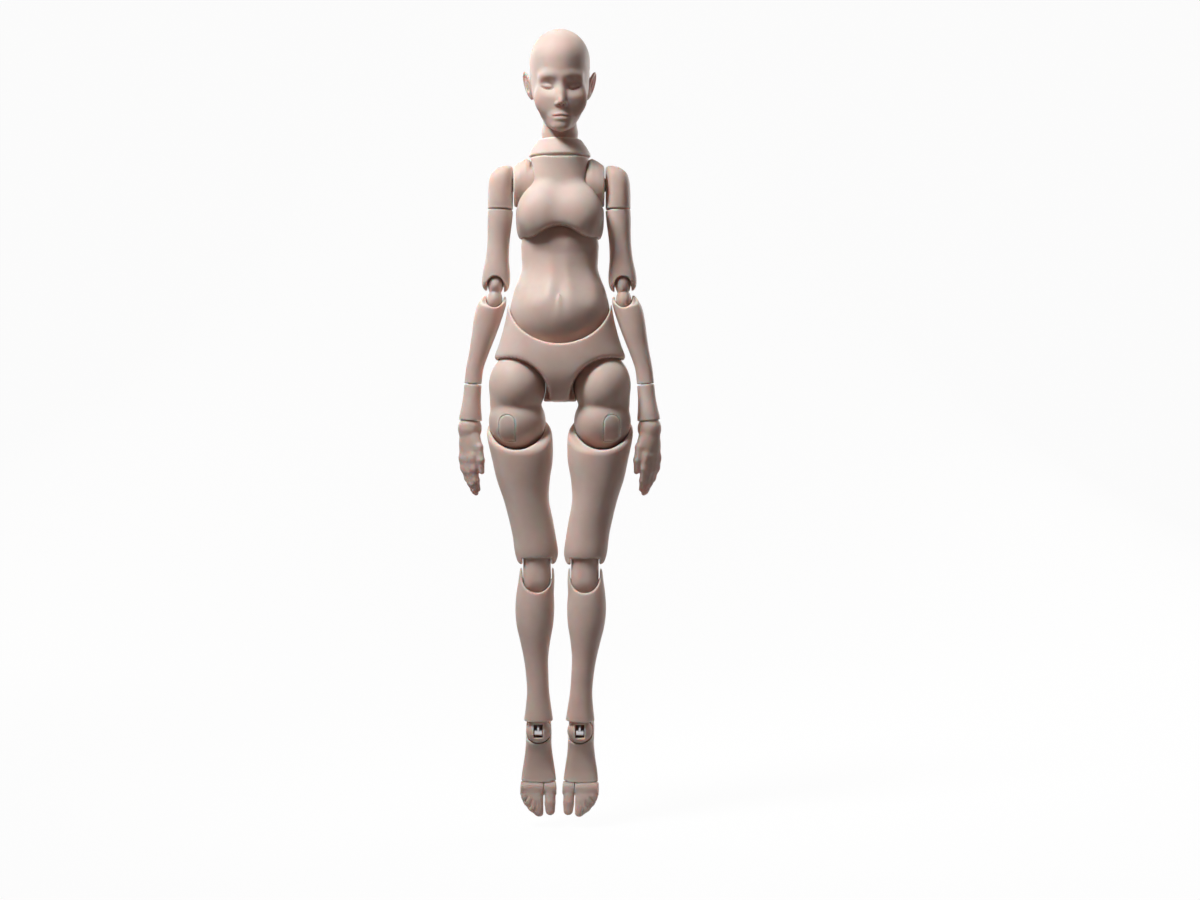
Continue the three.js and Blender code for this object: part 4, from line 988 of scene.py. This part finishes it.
def piece_object(name, points, faces, material):
    mesh = bpy.data.meshes.new(name)
    mesh.vertices.add(len(points))
    mesh.vertices.foreach_set("co", np.asarray(points, dtype=np.float32).ravel())
    mesh.loops.add(faces.size)
    mesh.loops.foreach_set("vertex_index", np.asarray(faces, dtype=np.int32).ravel())
    mesh.polygons.add(len(faces))
    mesh.polygons.foreach_set("loop_start", np.arange(0, faces.size, 4, dtype=np.int32))
    mesh.update(calc_edges=True)
    mesh.shade_smooth()
    mesh.materials.append(material)
    return shown(name, mesh)


def settle(thing, node):
    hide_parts(node)
    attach(thing, body_of[node])


def modelled(make):
    block, form = make()
    return block.mesh(form)


def cast(node, made, way):
    """Puts a modelled piece in the figure, turned right side out if its side is mirrored"""
    points, faces, marks = made
    matrix = np.array(way)
    spots = (points @ matrix[:3, :3].T + matrix[:3, 3]) * MM
    if np.linalg.det(matrix[:3, :3]) < 0:
        faces = faces[:, ::-1]
    thing = piece_object(f"{node}_piece", spots, faces, resin)
    for name, values in zip(("rim", "bare"), marks):
        layer = thing.data.attributes.new(name, "FLOAT", "POINT")
        layer.data.foreach_set("value", np.asarray(values, dtype=np.float32))
    settle(thing, node)


def wire_tree(material):
    """Wire of a named thickness along any path of edges"""
    tree = bpy.data.node_groups.new("bent_wire", "GeometryNodeTree")
    _, size, _ = (
        tree.interface.new_socket(name, in_out=way, socket_type=f"NodeSocket{kind}")
        for name, way, kind in (
            ("Geometry", "INPUT", "Geometry"), ("Wire radius", "INPUT", "Float"),
            ("Geometry", "OUTPUT", "Geometry")))
    nodes = Nodes(tree)
    start = nodes.add("NodeGroupInput")
    path = nodes.add("GeometryNodeMeshToCurve", {"Mesh": start["Geometry"]})["Curve"]
    ring = nodes.add("GeometryNodeCurvePrimitiveCircle", {
        "Resolution": 20, "Radius": start["Wire radius"]})["Curve"]
    skin = nodes.add("GeometryNodeCurveToMesh", {
        "Curve": path, "Profile Curve": ring, "Fill Caps": True})["Mesh"]
    real = nodes.add("GeometryNodeRealizeInstances", {"Geometry": skin})["Geometry"]
    coated = nodes.add("GeometryNodeSetMaterial", {
        "Geometry": real, "Material": material})["Geometry"]
    nodes.add("NodeGroupOutput", {"Geometry": coated})
    return tree, size.identifier


def bend_wire(node, paths, way):
    """Bakes the wire along each path, given in millimetres, into one piece"""
    meshes = []
    for path, radius in paths:
        mesh = bpy.data.meshes.new("path")
        spots = [(way @ Vector(point)) * MM for point in path]
        mesh.from_pydata(spots, [(i, i + 1) for i in range(len(path) - 1)], [])
        thing = shown("path", mesh)
        bend = thing.modifiers.new("wire", "NODES")
        bend.node_group = wire
        bend[wire_size] = radius * MM
        bpy.context.view_layer.update()
        ready = thing.evaluated_get(bpy.context.evaluated_depsgraph_get())
        meshes.append(bpy.data.meshes.new_from_object(ready))
        bpy.data.objects.remove(thing)
    thing = shown(f"{node}_piece", joined(meshes))
    thing.data.shade_smooth()
    settle(thing, node)


def joined(meshes):
    whole = bmesh.new()
    for mesh in meshes:
        whole.from_mesh(mesh)
    bmesh.ops.remove_doubles(whole, verts=whole.verts, dist=1e-6)
    bmesh.ops.recalc_face_normals(whole, faces=whole.faces)
    result = bpy.data.meshes.new("wire")
    whole.to_mesh(result)
    whole.free()
    result.materials.append(meshes[0].materials[0])
    return result


def hook_paths(at, rise, length, radius=WIRE, along=(1, 0)):
    """A cross bar, and a stem that ends in an eye for the cord"""
    x, y, z = at
    sign = 1 if rise > 0 else -1
    dx, dy = (v * length / 2 for v in along)
    bar = [(x - dx, y - dy, z), (x + dx, y + dy, z)]
    turns = [math.radians(angle) for angle in range(0, 331, 15)]
    eye = [(x, y + EYE * math.sin(t), z + rise - sign * EYE * math.cos(t)) for t in turns]
    return [(bar, radius), ([(x, y, z)] + eye, WIRE)]


resin, steel = resin_finish(), steel_finish()
wire, wire_size = wire_tree(steel)

waist = placed((0, WAIST_BACK, WAIST_HEIGHT))
ribs = waist @ placed((0, 0, CHEST_BEND - WAIST_HEIGHT))
throat = ribs @ placed((0, 0, COLLAR_HEIGHT - CHEST_BEND))
nape = throat @ placed((0, 0, NECK_SEAT), pitch=6)
head = nape @ placed((0, 0, NECK_LENGTH), turn=HEAD_TURN)
for make, way in (
        (pelvis, Matrix.Identity(4)), (belly, waist), (chest, ribs), (neck_base, throat),
        (neck, nape), (head_face, head), (head_cap, head)):
    cast(make.__name__, modelled(make), way)
floor_of_cavity = CAVITY_AT[2] - CAVITY[2]
bend_wire("neck_hook", hook_paths((0, 0, floor_of_cavity + WIRE + 1.1),
                                  -floor_of_cavity - 0.3 * NECK_TOP, 3.4 * CHANNEL), head)


def limb_frames(stance):
    """The frame of each limb piece's pivot on the figure's right side"""
    frames = {"chest": ribs, "pelvis": Matrix.Identity(4)}
    for name, carrier, where, turns in (
            ("yoke", "chest", (-YOKE_SPREAD - stance["reach"], 0, YOKE_HEIGHT - CHEST_BEND), {}),
            ("shoulder", "yoke", (-YOKE_FACE, 0, 0), {}),
            ("upper_arm", "shoulder", (-GAP - SHOULDER_WIDE, 0, -SHOULDER_DROP - GAP),
             dict(lean=stance["arm"])),
            ("elbow", "upper_arm", (0, 0, -UPPER_ARM), {}),
            ("forearm", "elbow", (0, 0, -ELBOW_PITCH), {}),
            ("wrist_sleeve", "forearm", (FOREARM_ASIDE, 0, -FOREARM),
             dict(lean=stance["sleeve"] - stance["arm"])),
            ("hand", "wrist_sleeve", (0, 0, -SLEEVE),
             dict(lean=-stance["sleeve"], turn=stance["hand"])),
            ("hip", "pelvis", (-HIP_SPREAD, 0, HIP_HEIGHT), {}),
            ("slot_plug", "hip", (0, 0, 0), {}),
            ("thigh", "hip", (0, 0, -HIP_PITCH), dict(lean=stance["thigh"])),
            ("knee", "thigh", (KNEE_ASIDE, 0, -THIGH), dict(lean=stance["knee"])),
            ("shin", "knee", (0, 0, -KNEE_PITCH), dict(lean=stance["shin"])),
            ("ankle_ball", "shin", (ANKLE_ASIDE, 0, -SHIN),
             dict(lean=-stance["thigh"] - stance["knee"] - stance["shin"])),
            ("foot", "ankle_ball", (0, 0, 0), dict(pitch=FOOT_PITCH, turn=stance["foot"])),
            ("big_toe", "foot", (0, -FOOT, TOE_AXIS), {}),
            ("small_toes", "big_toe", (0, 0, 0), {})):
        frames[name] = frames[carrier] @ placed(where, **turns)
    return frames


sides = {"right": Matrix.Identity(4), "left": Matrix.Scale(-1, 4, (1, 0, 0))}
frames_of = {side: limb_frames(STANCE[side]) for side in sides}
for make in (yoke, shoulder, upper_arm, elbow, forearm, wrist_sleeve, hand, hip, slot_plug, thigh,
             knee, shin, ankle_ball, foot, big_toe, small_toes):
    name = make.__name__
    made = modelled(make)
    for side, mirror in sides.items():
        cast(f"{side}_{name}", made, mirror @ frames_of[side][name])
hooks = {
    "hand": ("hand_hook", hook_paths((0, 0, GAP), 0.5 * WRIST, 1.04 * WRIST, along=(0, 1))),
    "ankle_ball": ("ankle_hook", hook_paths((0, -0.45 * ANKLE, -0.1 * ANKLE), 0.27 * ANKLE,
                                            2 * (SLOT_WIDE - GAP), 2 * WIRE)),
}
for holder, (name, paths) in hooks.items():
    for side, mirror in sides.items():
        bend_wire(f"{side}_{name}", paths, mirror @ frames_of[side][holder])


# Studio, in metres

CLEAR = 0.004
BOARD_FRONT, BOARD_BACK, BOARD_BEND, BOARD_HIGH, BOARD_WIDE = 1.2, 0.9, 0.35, 1.3, 1.6
low = Vector(cad_box[0])
floor_height = low.z - CLEAR
sweep = [(-BOARD_FRONT, 0)] + [
    (BOARD_BACK - BOARD_BEND * (1 - math.sin(t)), BOARD_BEND * (1 - math.cos(t)))
    for t in np.linspace(0, math.pi / 2, 13)] + [(BOARD_BACK, BOARD_HIGH)]
corners = [(x, y, floor_height + z) for y, z in sweep for x in (-BOARD_WIDE, BOARD_WIDE)]
board = bpy.data.meshes.new("studio_board")
board.from_pydata(corners, [], [(i, i + 1, i + 3, i + 2) for i in range(0, len(corners) - 2, 2)])
board.shade_smooth()
board.materials.append(studio_finish())
backdrop = shown("studio_board", board)

bpy.context.scene.world = studio_air()


def lamp(name, at, aim, size, power, colour, spread=180):
    light = bpy.data.lights.new(name, "AREA")
    light.size, light.energy, light.color = size, power, colour
    light.spread = math.radians(spread)
    thing = shown(name, light)
    thing.location = at
    thing.rotation_euler = (Vector(aim) - Vector(at)).to_track_quat("-Z", "Y").to_euler()


lamp("key", (-0.27, -0.26, 0.52), (0, 0, 0.07), 0.18, 0.4, (0.97, 0.99, 1), 50)
lamp("fill", (0.1, -0.9, 0.1), (0, 0, -0.02), 0.5, 0.2, (1, 0.55, 0.45))
lamp("edge", (0.42, 0.3, 0.25), (0, 0, 0.03), 0.3, 0.6, (1, 1, 1))
lamp("back_left", (-0.5, 0.65, 0.3), (0, 0, 0), 0.4, 1.9, (1, 0.98, 0.96))
lamp("back_right", (0.5, 0.65, 0.2), (0, 0, -0.02), 0.4, 1.8, (1, 0.98, 0.96))

view = bpy.data.cameras.new("photo_view")
view.lens, view.sensor_width = 60, 36
camera = shown("photo_view", view)
camera.location = (0.0147, -0.733, -0.0176)
camera.rotation_euler = (math.radians(90), 0, 0)
bpy.context.scene.camera = camera
bpy.context.scene.view_settings.view_transform = "Standard"
